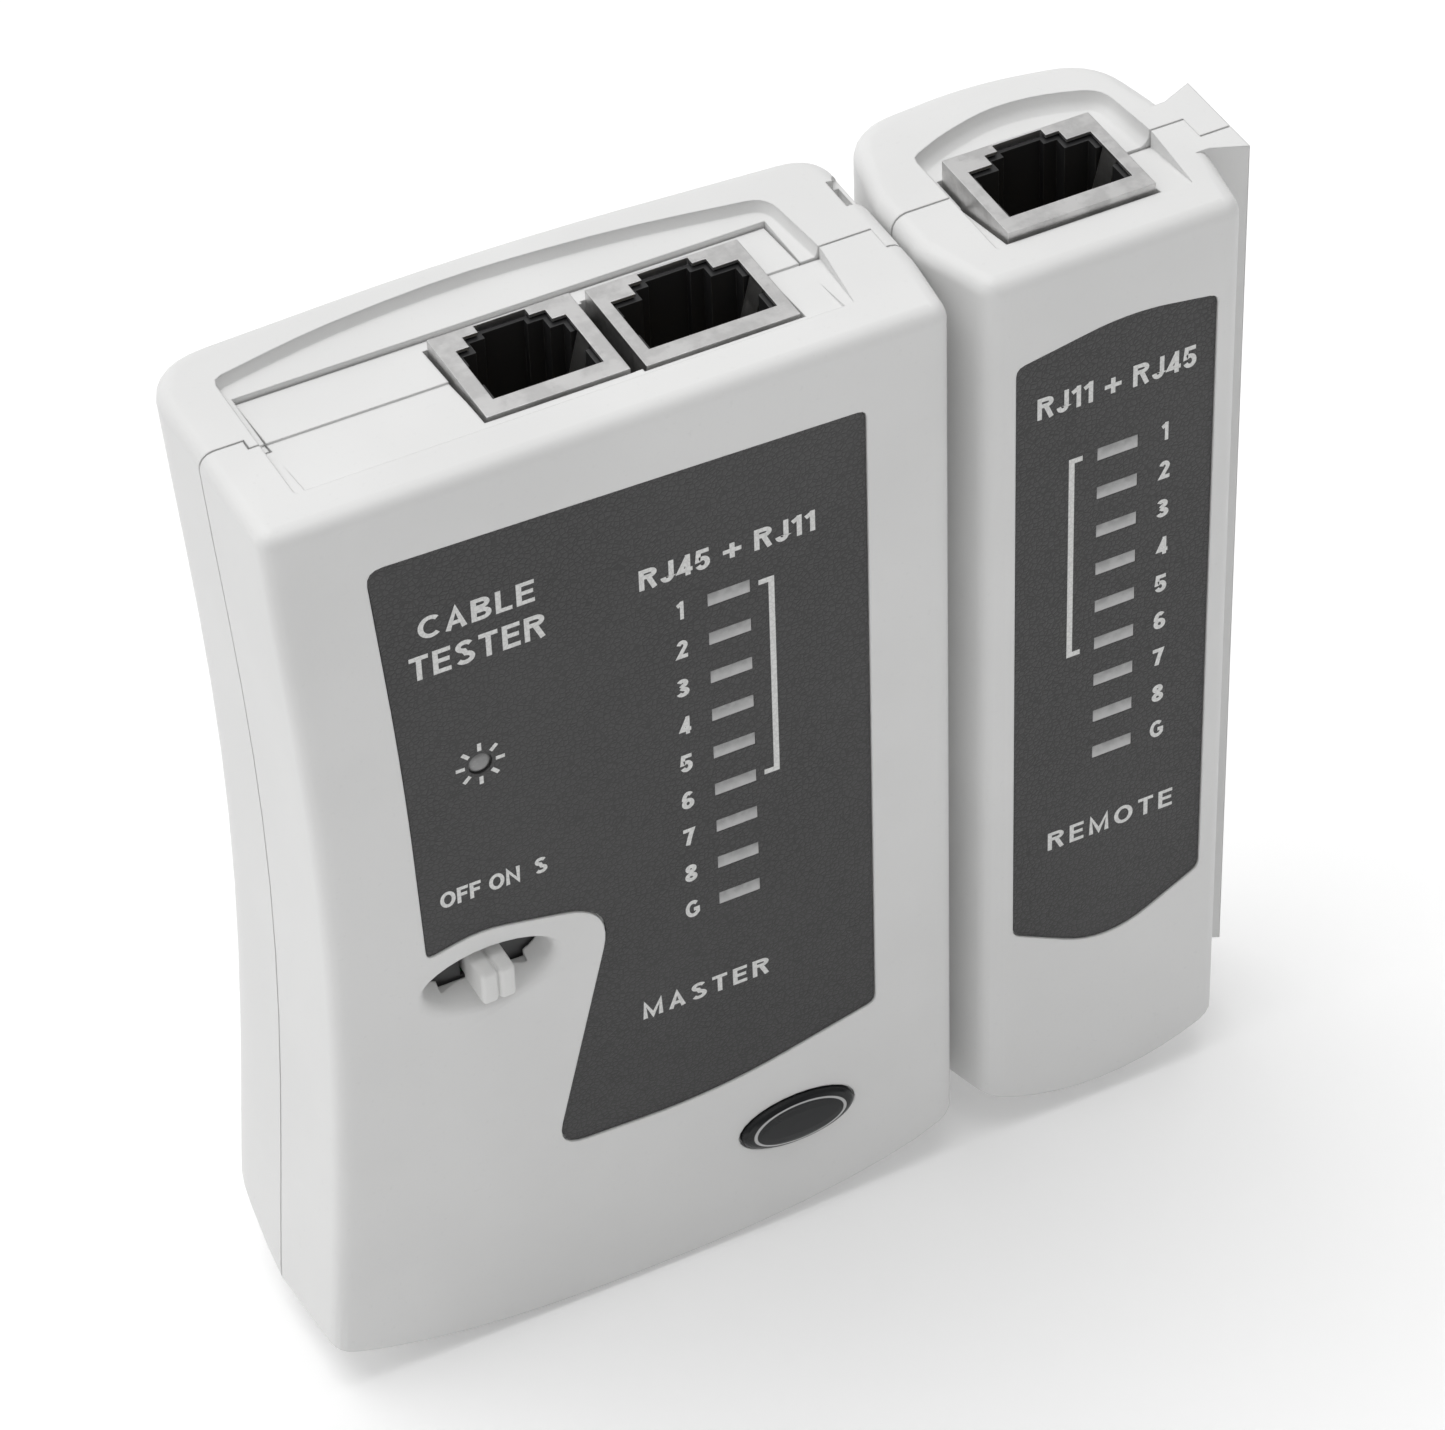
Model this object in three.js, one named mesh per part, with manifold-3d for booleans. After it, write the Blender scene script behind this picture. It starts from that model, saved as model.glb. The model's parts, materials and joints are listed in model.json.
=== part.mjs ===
// Two-piece network cable tester: a wide master unit and a narrow remote unit that rides on the master's side rail.
// Millimetres. +Z runs up along both units to their sockets, +X from the master to the remote, -Y is the front.
import * as THREE from "three";
import { mergeVertices } from "three/addons/utils/BufferGeometryUtils.js";
import Module from "manifold-3d";

const wasm = await Module();
wasm.setup();

// ---------- driving dimensions ----------
const WALL = 2; // moulded wall
const SEAM_Y = 13.6; // plane where front and rear shells meet
const SEAM_RAIL_Y = 10.6; // the seam across a rail
const SEAM_GAP = 0.2;
const DEPTH = 28.6; // over both shells, less the crown of the back
const MASTER_TOP = 107.6;
const REMOTE_TOP = 108.1;
const RAIL_FOOT = 7.1; // where a rail starts, above the lowest point
const LED_PITCH = 4.656;
const LED_WINDOW = { w: 4.1, h: 1.3 };
const MASTER_LED = { x: 44.3, z: 83.5 }; // centre of the first window
const REMOTE_LED = { x: 84.8, z: 84.3 };
const LABEL_DEPTH = 0.5; // pocket under each label
const LABEL_THICK = 0.35;
const BOARD_Y = 3.9; // front face of both circuit boards
const BOARD_THICK = 1.6;
const SHIELD_THICK = 0.35;
const SHIELD_DEPTH = 15.5; // socket length below its face
const SHIELD_D = 12.42; // socket face, front to back
const SOCKETS = {
  a: { x: 24.44, y: 6.4, w: 14.05, half: [5.43, 4.1, 2.55], top: MASTER_TOP - 0.2, ways: 6 },
  b: { x: 39.89, y: 6, w: 15.33, half: [6.4, 3.9, 2.55], top: MASTER_TOP - 0.2, ways: 8 },
  c: { x: 76.08, y: 5.5, w: 15.33, half: [6.4, 3.9, 2.55], top: REMOTE_TOP + 0.8, ways: 8 },
};
const POCKET = { x0: 6.4, x1: 59.1, y0: 4.9, y1: 20.6, deep: 1.75 }; // flat seat of the master's two sockets
const RAIL = { root: [8.6, 16.8], tip: [7.1, 18.3], reach: 3.4 };
const RAIL_CLEARANCE = 0.35;
const MASTER_SIDE = 68.2; // where the two units touch
const REMOTE_SIDE = 68.5;
const REMOTE_RIGHT = 98.9;
const SWITCH = { x: 18.2, z: 47.9, w: 13.2, h: 7.2, well: 2.7, travel: 2.5, knob: 3.5, proud: 2 };
const BADGE = { x: 49.6, z: 13.1, w: 12.4, h: 6.1 };
const BATTERY = { x: 6.6, y: 7.9, z: 13.6, l: 46.2, d: 17.3, h: 26.2 };
const DOOR = { x0: 10, x1: 54, z1: 43, thick: 1.8 };
const CENTRE = { x: 50.74, y: 13.503, z: -0.6 }; // middle of the whole set at its lowest point

// ---------- solids ----------
const solid = (geometry) => {
  const bare = geometry.index ? geometry.toNonIndexed() : geometry.clone();
  bare.deleteAttribute("normal");
  bare.deleteAttribute("uv");
  const merged = mergeVertices(bare, 1e-4);
  return new wasm.Manifold(
    new wasm.Mesh({
      numProp: 3,
      vertProperties: merged.attributes.position.array,
      triVerts: new Uint32Array(merged.index.array),
    }),
  );
};
const union = (parts) => parts.reduce((sum, part) => sum.add(part));
const cutAll = (body, parts) => parts.reduce((rest, part) => rest.subtract(part), body);

const box = (x0, x1, y0, y1, z0, z1) =>
  solid(
    new THREE.BoxGeometry(x1 - x0, y1 - y0, z1 - z0).translate((x0 + x1) / 2, (y0 + y1) / 2, (z0 + z1) / 2),
  );

// Outline points with each corner rounded: corner = [u, v, radius, segments].
const rounded = (corners) => {
  const points = [];
  corners.forEach(([u, v, r = 0, n = 4], i) => {
    const here = new THREE.Vector2(u, v);
    if (r <= 0) {
      points.push(here);
      return;
    }
    const before = new THREE.Vector2(...corners.at(i - 1).slice(0, 2)).sub(here);
    const after = new THREE.Vector2(...corners[(i + 1) % corners.length].slice(0, 2)).sub(here);
    const reach = Math.min(r, 0.45 * before.length(), 0.45 * after.length());
    const from = here.clone().addScaledVector(before.normalize(), reach);
    const to = here.clone().addScaledVector(after.normalize(), reach);
    points.push(...new THREE.QuadraticBezierCurve(from, here, to).getPoints(n));
  });
  return points;
};

// The same corners moved inwards by t, for an outline that runs counter-clockwise.
const inset = (corners, t) => {
  const edge = (a, b) => {
    const d = new THREE.Vector2(b[0] - a[0], b[1] - a[1]).normalize();
    return { p: new THREE.Vector2(a[0] - d.y * t, a[1] + d.x * t), d };
  };
  return corners.map((corner, i) => {
    const e = edge(corners.at(i - 1), corner);
    const f = edge(corner, corners[(i + 1) % corners.length]);
    const s = f.p.clone().sub(e.p).cross(f.d) / e.d.cross(f.d);
    const at = e.p.clone().addScaledVector(e.d, s);
    return [at.x, at.y, Math.max(corner[2] - t, 0.4), corner[3]];
  });
};

const prismZ = (points, z0, z1) =>
  solid(
    new THREE.ExtrudeGeometry(new THREE.Shape(points), { depth: z1 - z0, bevelEnabled: false }).translate(0, 0, z0),
  );
const prismY = (points, y0, y1) =>
  solid(
    new THREE.ExtrudeGeometry(new THREE.Shape(points), { depth: y1 - y0, bevelEnabled: false })
      .rotateX(Math.PI / 2)
      .translate(0, y1, 0),
  );
const YZX = new THREE.Matrix4().makeBasis(
  new THREE.Vector3(0, 1, 0),
  new THREE.Vector3(0, 0, 1),
  new THREE.Vector3(1, 0, 0),
);
const prismX = (points, x0, x1) =>
  solid(
    new THREE.ExtrudeGeometry(new THREE.Shape(points), { depth: x1 - x0, bevelEnabled: false })
      .applyMatrix4(YZX)
      .translate(x0, 0, 0),
  );
const rect = (u0, u1, v0, v1) => [
  new THREE.Vector2(u0, v0),
  new THREE.Vector2(u1, v0),
  new THREE.Vector2(u1, v1),
  new THREE.Vector2(u0, v1),
];
const ellipse = (u, v, a, b, n) =>
  Array.from({ length: n }, (_, i) => {
    const angle = (i / n) * Math.PI * 2;
    return new THREE.Vector2(u + a * Math.cos(angle), v + b * Math.sin(angle));
  });
// A round bar along Y.
const barY = (x, z, r, y0, y1, n = 16) => prismY(ellipse(x, z, r, r, n), y0, y1);

// A closed skin over rings of equal length; each ring is an array of Vector3, the caps are flat.
const loft = (rings) => {
  const n = rings[0].length;
  const positions = rings.flat().flatMap((p) => [p.x, p.y, p.z]);
  const index = [];
  for (let k = 0; k + 1 < rings.length; k++)
    for (let i = 0; i < n; i++) {
      const a = k * n + i;
      const b = k * n + ((i + 1) % n);
      index.push(a, b, b + n, a, b + n, a + n);
    }
  const flat = (ring) => {
    const normal = new THREE.Vector3();
    ring.forEach((p, i) => normal.add(new THREE.Vector3().crossVectors(p, ring[(i + 1) % n])));
    const u = ring[1].clone().sub(ring[0]).normalize();
    const v = new THREE.Vector3().crossVectors(normal.normalize(), u);
    return ring.map((p) => new THREE.Vector2(p.dot(u), p.dot(v)));
  };
  const last = (rings.length - 1) * n;
  THREE.ShapeUtils.triangulateShape(flat(rings[0]), []).forEach(([a, b, c]) => index.push(a, c, b));
  THREE.ShapeUtils.triangulateShape(flat(rings.at(-1)), []).forEach(([a, b, c]) =>
    index.push(last + a, last + b, last + c),
  );
  const geometry = new THREE.BufferGeometry();
  geometry.setAttribute("position", new THREE.Float32BufferAttribute(positions, 3));
  geometry.setIndex(index);
  return solid(geometry);
};

// ---------- materials and nodes ----------
const finish = (color, roughness, metalness = 0) => new THREE.MeshStandardMaterial({ color, roughness, metalness });
const FINISH = {
  shell: finish("#dcdcda", 0.5),
  label: finish("#3b3b3c", 0.6),
  knob: finish("#cfcfce", 0.45),
  tin: finish("#c9c9c6", 0.32, 0.9),
  black: finish("#1b1b1c", 0.55),
  gold: finish("#c9a54a", 0.3, 1),
  board: finish("#2c6b3a", 0.45),
  lens: finish("#8d8f8e", 0.25),
  steel: finish("#a9aaab", 0.35, 1),
  badge: finish("#17181a", 0.08),
  cell: finish("#2b4a78", 0.4),
  red: finish("#a3241f", 0.5),
};
const tester = new THREE.Group();
tester.name = "cable_tester";
tester.position.set(-CENTRE.x, -CENTRE.y, -CENTRE.z);
const master = new THREE.Group();
master.name = "master";
const remote = new THREE.Group();
remote.name = "remote";
tester.add(master, remote);

const addNode = (group, name, body, material) => {
  const { vertProperties, triVerts, numProp } = body.getMesh();
  const positions = new Float32Array((vertProperties.length / numProp) * 3);
  for (let i = 0; i < positions.length / 3; i++)
    positions.set(vertProperties.subarray(i * numProp, i * numProp + 3), i * 3);
  const geometry = new THREE.BufferGeometry();
  geometry.setAttribute("position", new THREE.BufferAttribute(positions, 3));
  geometry.setIndex(new THREE.BufferAttribute(new Uint32Array(triVerts), 1));
  geometry.computeVertexNormals();
  const mesh = new THREE.Mesh(geometry, material);
  mesh.name = name;
  group.add(mesh);
};

// ---------- outer forms ----------
// The master's left side is waisted: its X at height z.
const waist = (z) => {
  const s = THREE.MathUtils.clamp((MASTER_TOP - z) / (MASTER_TOP - 3), 0, 1);
  return 2.85 * Math.sin(Math.PI * s) ** 1.15 - 0.9 * s;
};
const masterPlan = (z) => [
  [waist(z), 0, 1.8, 4],
  [67.3, 0, 1.8, 4],
  [MASTER_SIDE, 8.2, 0.8, 1],
  [MASTER_SIDE, 17.4, 0.8, 1],
  [67.85, 18.3, 0.5, 1],
  [67.85, 26.9, 6, 8],
  [34, DEPTH + 0.8, 24, 6],
  [waist(z), 28, 6.8, 8],
];
const remotePlan = () => [
  [71.1, 0, 1.8, 4],
  [97.5, 0, 1.8, 4],
  [REMOTE_RIGHT, 8.2, 1.2, 1],
  [REMOTE_RIGHT, 16.8, 2, 2],
  [96.9, 26.5, 5.2, 7],
  [85, DEPTH + 0.4, 9.5, 6],
  [71.2, 27.9, 5.8, 7],
  [REMOTE_SIDE, 17.6, 1.2, 1],
  [REMOTE_SIDE, 8.2, 1.2, 1],
];
const upright = (plan, levels, t) =>
  loft(levels.map(([z, extra]) => rounded(inset(plan(z), t + extra)).map((p) => new THREE.Vector3(p.x, p.y, z))));

// Heights of the foot of a unit at depth y, at its middle and at its sides.
const foot = (y, low) => {
  const front = THREE.MathUtils.clamp((SEAM_Y - y) / SEAM_Y, 0, 1.2);
  const rear = Math.max(y - SEAM_Y, 0) / 9;
  return {
    middle: low.middle + 0.6 * front - 0.6 + 5.2 * rear ** 1.35,
    side: low.side + low.lift * front + 4.4 * rear ** 1.15,
  };
};
// Everything above the curved foot, raised by t for the inside. The right-hand corner curls up more.
const aboveFoot = (low, t) => {
  const steps = 20;
  const depths = [-1, 0.8, 4.5, 9, SEAM_Y, 17, 20, 23, 26, 30];
  return loft(
    depths.map((y) => {
      const { middle, side } = foot(THREE.MathUtils.clamp(y, 0, DEPTH), low);
      const ring = Array.from({ length: steps + 1 }, (_, i) => {
        const s = Math.sin(((2 * i) / steps - 1) * (Math.PI / 2));
        const curl = (s > 0 ? 3 : 0.6) * Math.abs(s) ** 14;
        const z = middle + (side - middle) * Math.abs(s) ** low.power + curl + t;
        return new THREE.Vector3(low.x + low.half * s, y, z);
      });
      ring.push(new THREE.Vector3(low.x + low.half, y, 130), new THREE.Vector3(low.x - low.half, y, 130));
      return ring.reverse();
    }),
  );
};
const MASTER_FOOT = { x: 33.7, half: 36, middle: 0, side: 3.2, lift: 2.4, power: 2.5 };
const REMOTE_FOOT = { x: 84.2, half: 16.2, middle: 1.8, side: 4.6, lift: 2.6, power: 2 };

const masterLevels = (top, t) => [
  ...Array.from({ length: 13 }, (_, i) => [-4 + (i * (top + 2)) / 13, 0]),
  [top - 1.6, 0],
  [top - 1, t ? 0 : 0.12],
  [top - 0.5, t ? 0 : 0.42],
  [top - 0.15, t ? 0 : 0.9],
  [top, t ? 0 : 1.5],
];
const remoteLevels = (top, t) => [
  [-4, 0],
  [top - 1.6, 0],
  [top - 1, t ? 0 : 0.12],
  [top - 0.5, t ? 0 : 0.42],
  [top - 0.15, t ? 0 : 0.9],
  [top, t ? 0 : 1.5],
];
const masterOuter = upright(masterPlan, masterLevels(MASTER_TOP, 0), 0).intersect(aboveFoot(MASTER_FOOT, 0));
const masterInner = upright(masterPlan, masterLevels(MASTER_TOP - WALL - 1.4, 1), WALL).intersect(
  aboveFoot(MASTER_FOOT, WALL),
);
const remoteOuter = upright(remotePlan, remoteLevels(REMOTE_TOP, 0), 0).intersect(aboveFoot(REMOTE_FOOT, 0));

// ---------- rails ----------
const railPlan = (x, grow) => [
  new THREE.Vector2(x - 1.5, RAIL.root[0] - grow),
  new THREE.Vector2(x, RAIL.root[0] - grow),
  new THREE.Vector2(x + RAIL.reach + grow, RAIL.tip[0] - grow),
  new THREE.Vector2(x + RAIL.reach + grow, RAIL.tip[1] + grow),
  new THREE.Vector2(x, RAIL.root[1] + grow),
  new THREE.Vector2(x - 1.5, RAIL.root[1] + grow),
];
const masterRail = prismZ(railPlan(MASTER_SIDE, 0), RAIL_FOOT, MASTER_TOP - 2.6);
const remoteRail = prismZ(railPlan(REMOTE_RIGHT, 0), RAIL_FOOT, REMOTE_TOP);
const remoteGroove = prismZ(railPlan(MASTER_SIDE, RAIL_CLEARANCE), -5, MASTER_TOP - 2.3);
// The remote's left inner wall stands off from the groove.
const remoteInner = upright(remotePlan, remoteLevels(REMOTE_TOP - WALL - 1.4, 1), WALL)
  .intersect(aboveFoot(REMOTE_FOOT, WALL))
  .subtract(prismZ(railPlan(MASTER_SIDE, RAIL_CLEARANCE + 1.4), -5, MASTER_TOP - 0.8));

// ---------- socket recesses in the tops ----------
// A coved hollow behind the seam, and in front of it a ramp that runs out at the front edge.
const recess = (corners, top, depth, cove) => {
  const rings = [
    [-depth, cove],
    [-depth + 0.35, cove * 0.45],
    [-depth + 0.8, cove * 0.1],
    [-0.2, 0],
    [2, 0],
  ].map(([z, t]) => rounded(inset(corners, t)).map((p) => new THREE.Vector3(p.x, p.y, top + z)));
  const bowl = loft(rings);
  const ramp = prismX(
    [
      new THREE.Vector2(4.6, top),
      new THREE.Vector2(SEAM_Y, top - depth - 0.2),
      new THREE.Vector2(SEAM_Y, top + 2),
      new THREE.Vector2(4.6, top + 2),
    ],
    0,
    100,
  ).intersect(prismZ(rounded(corners), top - 4, top + 2));
  return bowl.intersect(box(0, 100, SEAM_Y, DEPTH + 2, 0, 200)).add(ramp);
};
const masterRecess = recess(
  [
    [5.4, 4.6, 0.4, 1],
    [60, 4.6, 0.4, 1],
    [61.1, 13.4, 1, 2],
    [60.3, 22.5, 2, 5],
    [46, 25, 12, 3],
    [30, 26.05, 12, 3],
    [16, 24.95, 12, 3],
    [5.4, 22.8, 1, 2],
  ],
  MASTER_TOP,
  1.15,
  0.35,
);
// The flat-floored pocket round the master's two sockets, shallow at the front.
const masterPocket = prismX(
  [
    new THREE.Vector2(POCKET.y0, MASTER_TOP - 0.35),
    new THREE.Vector2(POCKET.y1 + 0.1, MASTER_TOP - POCKET.deep),
    new THREE.Vector2(POCKET.y1 + 0.1, MASTER_TOP + 2),
    new THREE.Vector2(POCKET.y0, MASTER_TOP + 2),
  ],
  POCKET.x0,
  POCKET.x1,
);
const remoteRecess = recess(
  [
    [74.6, 4.6, 0.4, 1],
    [94.9, 4.6, 0.4, 1],
    [95.6, 13.4, 1, 2],
    [94.8, 21.5, 2, 5],
    [89.2, 23.5, 5, 3],
    [84, 23.9, 5, 3],
    [78.4, 22.4, 5, 3],
    [74.5, 20.6, 0.8, 2],
  ],
  REMOTE_TOP,
  1.7,
  0.9,
);

// ---------- sockets ----------
const socketCentre = (s) => s.x + s.w / 2;
// The stepped mouth of a modular socket: the plug's width, then two latch steps towards the rear.
const mouth = (s, shrink, back) => {
  const x = socketCentre(s);
  const [wide, mid, slot] = s.half.map((h) => h - shrink);
  const y = [2.05, 9.75, 11.25].map((v) => s.y + v);
  const outline = [
    [wide, y[0] + shrink],
    [wide, y[1] - shrink],
    [mid, y[1] - shrink],
    [mid, y[2] - shrink],
    [slot, y[2] - shrink],
    [slot, back],
  ];
  return [
    ...outline.map(([h, v]) => new THREE.Vector2(x + h, v)),
    ...outline.reverse().map(([h, v]) => new THREE.Vector2(x - h, v)),
  ];
};
const socketHole = (s, grow) =>
  box(s.x - grow, s.x + s.w + grow, s.y - grow, s.y + SHIELD_D + grow, s.top - SHIELD_DEPTH - 2, s.top + 5);
const leaf = (s, side) => {
  const x = socketCentre(s) + side * (s.half[0] + 0.1);
  const points = [
    new THREE.Vector2(x + side * 0.5, s.top - SHIELD_THICK),
    new THREE.Vector2(x, s.top - SHIELD_THICK),
    new THREE.Vector2(x - side * 1.15, s.top - 5),
    new THREE.Vector2(x - side * 0.9, s.top - 6.2),
    new THREE.Vector2(x - side * 0.6, s.top - 6.2),
    new THREE.Vector2(x - side * 0.85, s.top - 5),
    new THREE.Vector2(x + side * 0.3, s.top - SHIELD_THICK - 0.35),
    new THREE.Vector2(x + side * 0.5, s.top - SHIELD_THICK - 0.35),
  ];
  const spring = prismY(side > 0 ? points.reverse() : points, s.y + 5.2, s.y + 7.6);
  return spring;
};
const makeSocket = (group, key) => {
  const s = SOCKETS[key];
  const t = SHIELD_THICK;
  const bottom = s.top - SHIELD_DEPTH;
  const shell = box(s.x, s.x + s.w, s.y, s.y + SHIELD_D, bottom, s.top)
    .subtract(box(s.x + t, s.x + s.w - t, s.y + t, s.y + SHIELD_D - t, bottom - 1, s.top - t))
    .subtract(prismZ(mouth(s, 0, s.y + SHIELD_D - 0.2), s.top - 1, s.top + 1));
  const rims = [-1, 1].map((side) => leaf(s, side));
  addNode(group, "socket_" + key + "_shield", union([shell, ...rims]), FINISH.tin);

  const gap = t + 0.15;
  const x = socketCentre(s);
  const leafSlots = [-1, 1].map((side) => {
    const inner = x + side * (s.half[0] - 1.6);
    const outer = x + side * (s.half[0] + 0.75);
    return box(Math.min(inner, outer), Math.max(inner, outer), s.y + 4.9, s.y + 7.9, s.top - 7, s.top + 1);
  });
  const housing = cutAll(
    box(s.x + gap, s.x + s.w - gap, s.y + gap, s.y + SHIELD_D - gap, bottom, s.top - t - 0.2),
    [
      prismZ(mouth(s, 0.45, s.y + SHIELD_D - 0.9), s.top - 12.5, s.top + 1),
      box(x - s.half[0] + 0.8, x + s.half[0] - 0.8, s.y + 1, s.y + 2.6, bottom - 1, s.top - 1.6),
      box(x - s.half[0] + 1.2, x + s.half[0] - 1.2, s.y + 1, s.y + 8, bottom - 1, s.top - 13.3),
      ...leafSlots,
    ],
  );
  addNode(group, "socket_" + key + "_housing", housing, FINISH.black);

  const pitch = 1.1;
  const first = x - ((s.ways - 1) * pitch) / 2;
  const strip = box(first - 0.7, x * 2 - first + 0.7, s.y + 1.4, s.y + 5.4, bottom - 0.6, bottom + 1.6);
  // Bent spring wire seen from the side: up the front wall, back over the mouth and down into the plug's space.
  const wire = [
    [1.5, -13.95],
    [1.5, -2.6],
    [1.8, -2.1],
    [2.2, -2.3],
    [4.6, -9.4],
    [4.3, -9.5],
    [2.15, -3.1],
    [1.85, -3.1],
    [1.85, -13.95],
  ].map(([y, z]) => new THREE.Vector2(s.y + y, s.top + z));
  const wires = Array.from({ length: s.ways }, (_, i) =>
    prismX(wire, first + i * pitch - 0.22, first + i * pitch + 0.22),
  );
  addNode(group, "socket_" + key + "_contacts", union([strip, ...wires]), FINISH.gold);
};

// ---------- labels ----------
const masterLabelOutline = (grow) =>
  rounded(
    inset(
      [
        [12.05, 52.5, 0.8, 3],
        [17.6, 53.75, 3, 4],
        [31.3, 50.8, 5.2, 9],
        [23.8, 21.6, 3.2, 6],
        [41, 20.9, 13, 8],
        [58.45, 25, 0.8, 3],
        [58.45, 99.2, 0.8, 3],
        [9.4, 100.5, 1.6, 4],
        [11.3, 76, 18, 8],
      ],
      -grow,
    ),
  );
const remoteLabelOutline = (grow) =>
  rounded(
    inset(
      [
        [74, 26.6, 0.8, 3],
        [84.5, 20.9, 10, 8],
        [94.95, 26.5, 0.8, 3],
        [94.95, 98.4, 0.8, 3],
        [85.8, 99.9, 7, 8],
        [74, 97.8, 0.8, 3],
      ],
      -grow,
    ),
  );
const ledCentres = (first) => Array.from({ length: 9 }, (_, i) => ({ x: first.x, z: first.z - i * LED_PITCH }));
const ledSlot = (at, grow, y0, y1) =>
  box(
    at.x - LED_WINDOW.w / 2 - grow,
    at.x + LED_WINDOW.w / 2 + grow,
    y0,
    y1,
    at.z - LED_WINDOW.h / 2 - grow,
    at.z + LED_WINDOW.h / 2 + grow,
  );
const POWER_LED = { x: 18.8, z: 73.9, r: 1.1 };

// ---------- shell halves ----------
// Everything in front of the seam. The front half also carries the socket pocket's floor back under the
// recess, and the seam steps forward at the pocket's left end and on the rails.
const frontOfSeam = (gap, railX) =>
  box(-10, 120, -10, SEAM_Y - gap, -10, 130).subtract(box(railX, railX + 20, SEAM_RAIL_Y - gap, 30, -10, 130));
const masterZone = (gap) =>
  frontOfSeam(gap, 66.4)
    .subtract(box(4.4 - gap, POCKET.x0 + gap, SEAM_Y - 1.2 - gap, 30, MASTER_TOP - 4.5, 130))
    .add(box(POCKET.x0 + gap, POCKET.x1 - gap, 5, POCKET.y1 - gap, MASTER_TOP - 4.2 + gap, 130));
const MASTER_ZONE = { front: masterZone(SEAM_GAP / 2), cut: masterZone(-SEAM_GAP / 2) };
const REMOTE_ZONE = {
  front: frontOfSeam(SEAM_GAP / 2, REMOTE_RIGHT + 0.2),
  cut: frontOfSeam(-SEAM_GAP / 2, REMOTE_RIGHT + 0.2),
};

const MASTER_SCREWS = [
  { x: 7.2, z: 57 },
  { x: 60.8, z: 57 },
  { x: 7.4, z: 91 },
  { x: 60.6, z: 91 },
];
const REMOTE_SCREWS = [
  { x: 84.6, z: 17 },
  { x: 84.6, z: 88.8 },
];
const frontBoss = (at) => barY(at.x, at.z, 2.9, WALL - 0.5, SEAM_Y - 0.2);
const frontPilot = (at) => barY(at.x, at.z, 1.15, WALL + 1.6, SEAM_Y + 1, 12);
const rearBoss = (at) => barY(at.x, at.z, 3.9, SEAM_Y + 0.2, DEPTH - 1);
const rearBore = (at) => barY(at.x, at.z, 1.7, SEAM_Y - 1, DEPTH + 2, 12);
const rearCounterbore = (at) => barY(at.x, at.z, 2.9, SEAM_Y + 4.6, DEPTH + 2);
const makeScrew = (group, name, at) => {
  const y = SEAM_Y + 6.4;
  const cross = [
    [1.5, 0.3],
    [0.3, 1.5],
  ].map(([w, h]) => box(at.x - w, at.x + w, y - 0.8, y + 1, at.z - h, at.z + h));
  const shank = barY(at.x, at.z, 0.95, WALL + 2.4, y - 1, 10);
  addNode(group, name, cutAll(shank.add(barY(at.x, at.z, 2.5, y - 1.7, y, 16)), cross), FINISH.steel);
};

// ---------- master ----------
const masterTopOpenings = union([
  masterRecess,
  masterPocket,
  socketHole(SOCKETS.a, 0.35),
  socketHole(SOCKETS.b, 0.35),
  box(SOCKETS.a.x + 5, SOCKETS.b.x + 5, 6.1, 18.4, MASTER_TOP - 5, MASTER_TOP + 5),
]);
// A small notch in the top edge behind the rail, with a thin low lip outside it.
const railNotch = box(66.1, 67.4, 17.7, 21.8, MASTER_TOP - 2.2, 130).add(
  prismZ(rounded([[66.1, 17.7, 0], [69, 17.7, 0], [69, 23.4, 0], [67, 22.8, 0.8, 3]]), MASTER_TOP - 1.2, 130),
);
const masterShell = masterOuter.subtract(masterInner).add(masterRail).subtract(railNotch);
// An oval round the switch; lift raises it, for the slope of the lower lip.
const wellRing = (grow, lift = 0) =>
  ellipse(SWITCH.x, SWITCH.z + lift, SWITCH.w / 2 + grow, SWITCH.h / 2 + grow - Math.abs(lift), 32);
const switchWell = loft(
  [
    [-1, 1.9, -0.95],
    [0, 1, -0.6],
    [0.35, 0.35, -0.25],
    [0.9, 0, -0.05],
    [SWITCH.well, -0.5, 0.45],
    [SWITCH.well + 1.2, -0.6, 0.45],
  ].map(([y, grow, lift]) =>
    wellRing(grow, lift)
      .map((p) => new THREE.Vector3(p.x, y, p.y))
      .reverse(),
  ),
);
const knobSlot = box(SWITCH.x - 4.5, SWITCH.x + 4.5, 1.8, 6, SWITCH.z - 2.15, SWITCH.z + 2.15);
const masterFront = cutAll(
  union([
    masterShell.intersect(MASTER_ZONE.front),
    prismY(wellRing(1.2), 1, SWITCH.well),
    ...MASTER_SCREWS.map(frontBoss),
  ]),
  [
    masterTopOpenings,
    switchWell,
    knobSlot,
    prismY(masterLabelOutline(0.12), -1, LABEL_DEPTH),
    ...ledCentres(MASTER_LED).map((at) => ledSlot(at, 0.3, -1, WALL + 1)),
    barY(POWER_LED.x, POWER_LED.z, POWER_LED.r + 0.3, -1, WALL + 1),
    prismY(ellipse(BADGE.x, BADGE.z, BADGE.w / 2 + 0.25, BADGE.h / 2 + 0.25, 28), -1, 0.6),
    ...MASTER_SCREWS.map(frontPilot),
  ],
);
addNode(master, "master_front_shell", masterFront, FINISH.shell);

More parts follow.
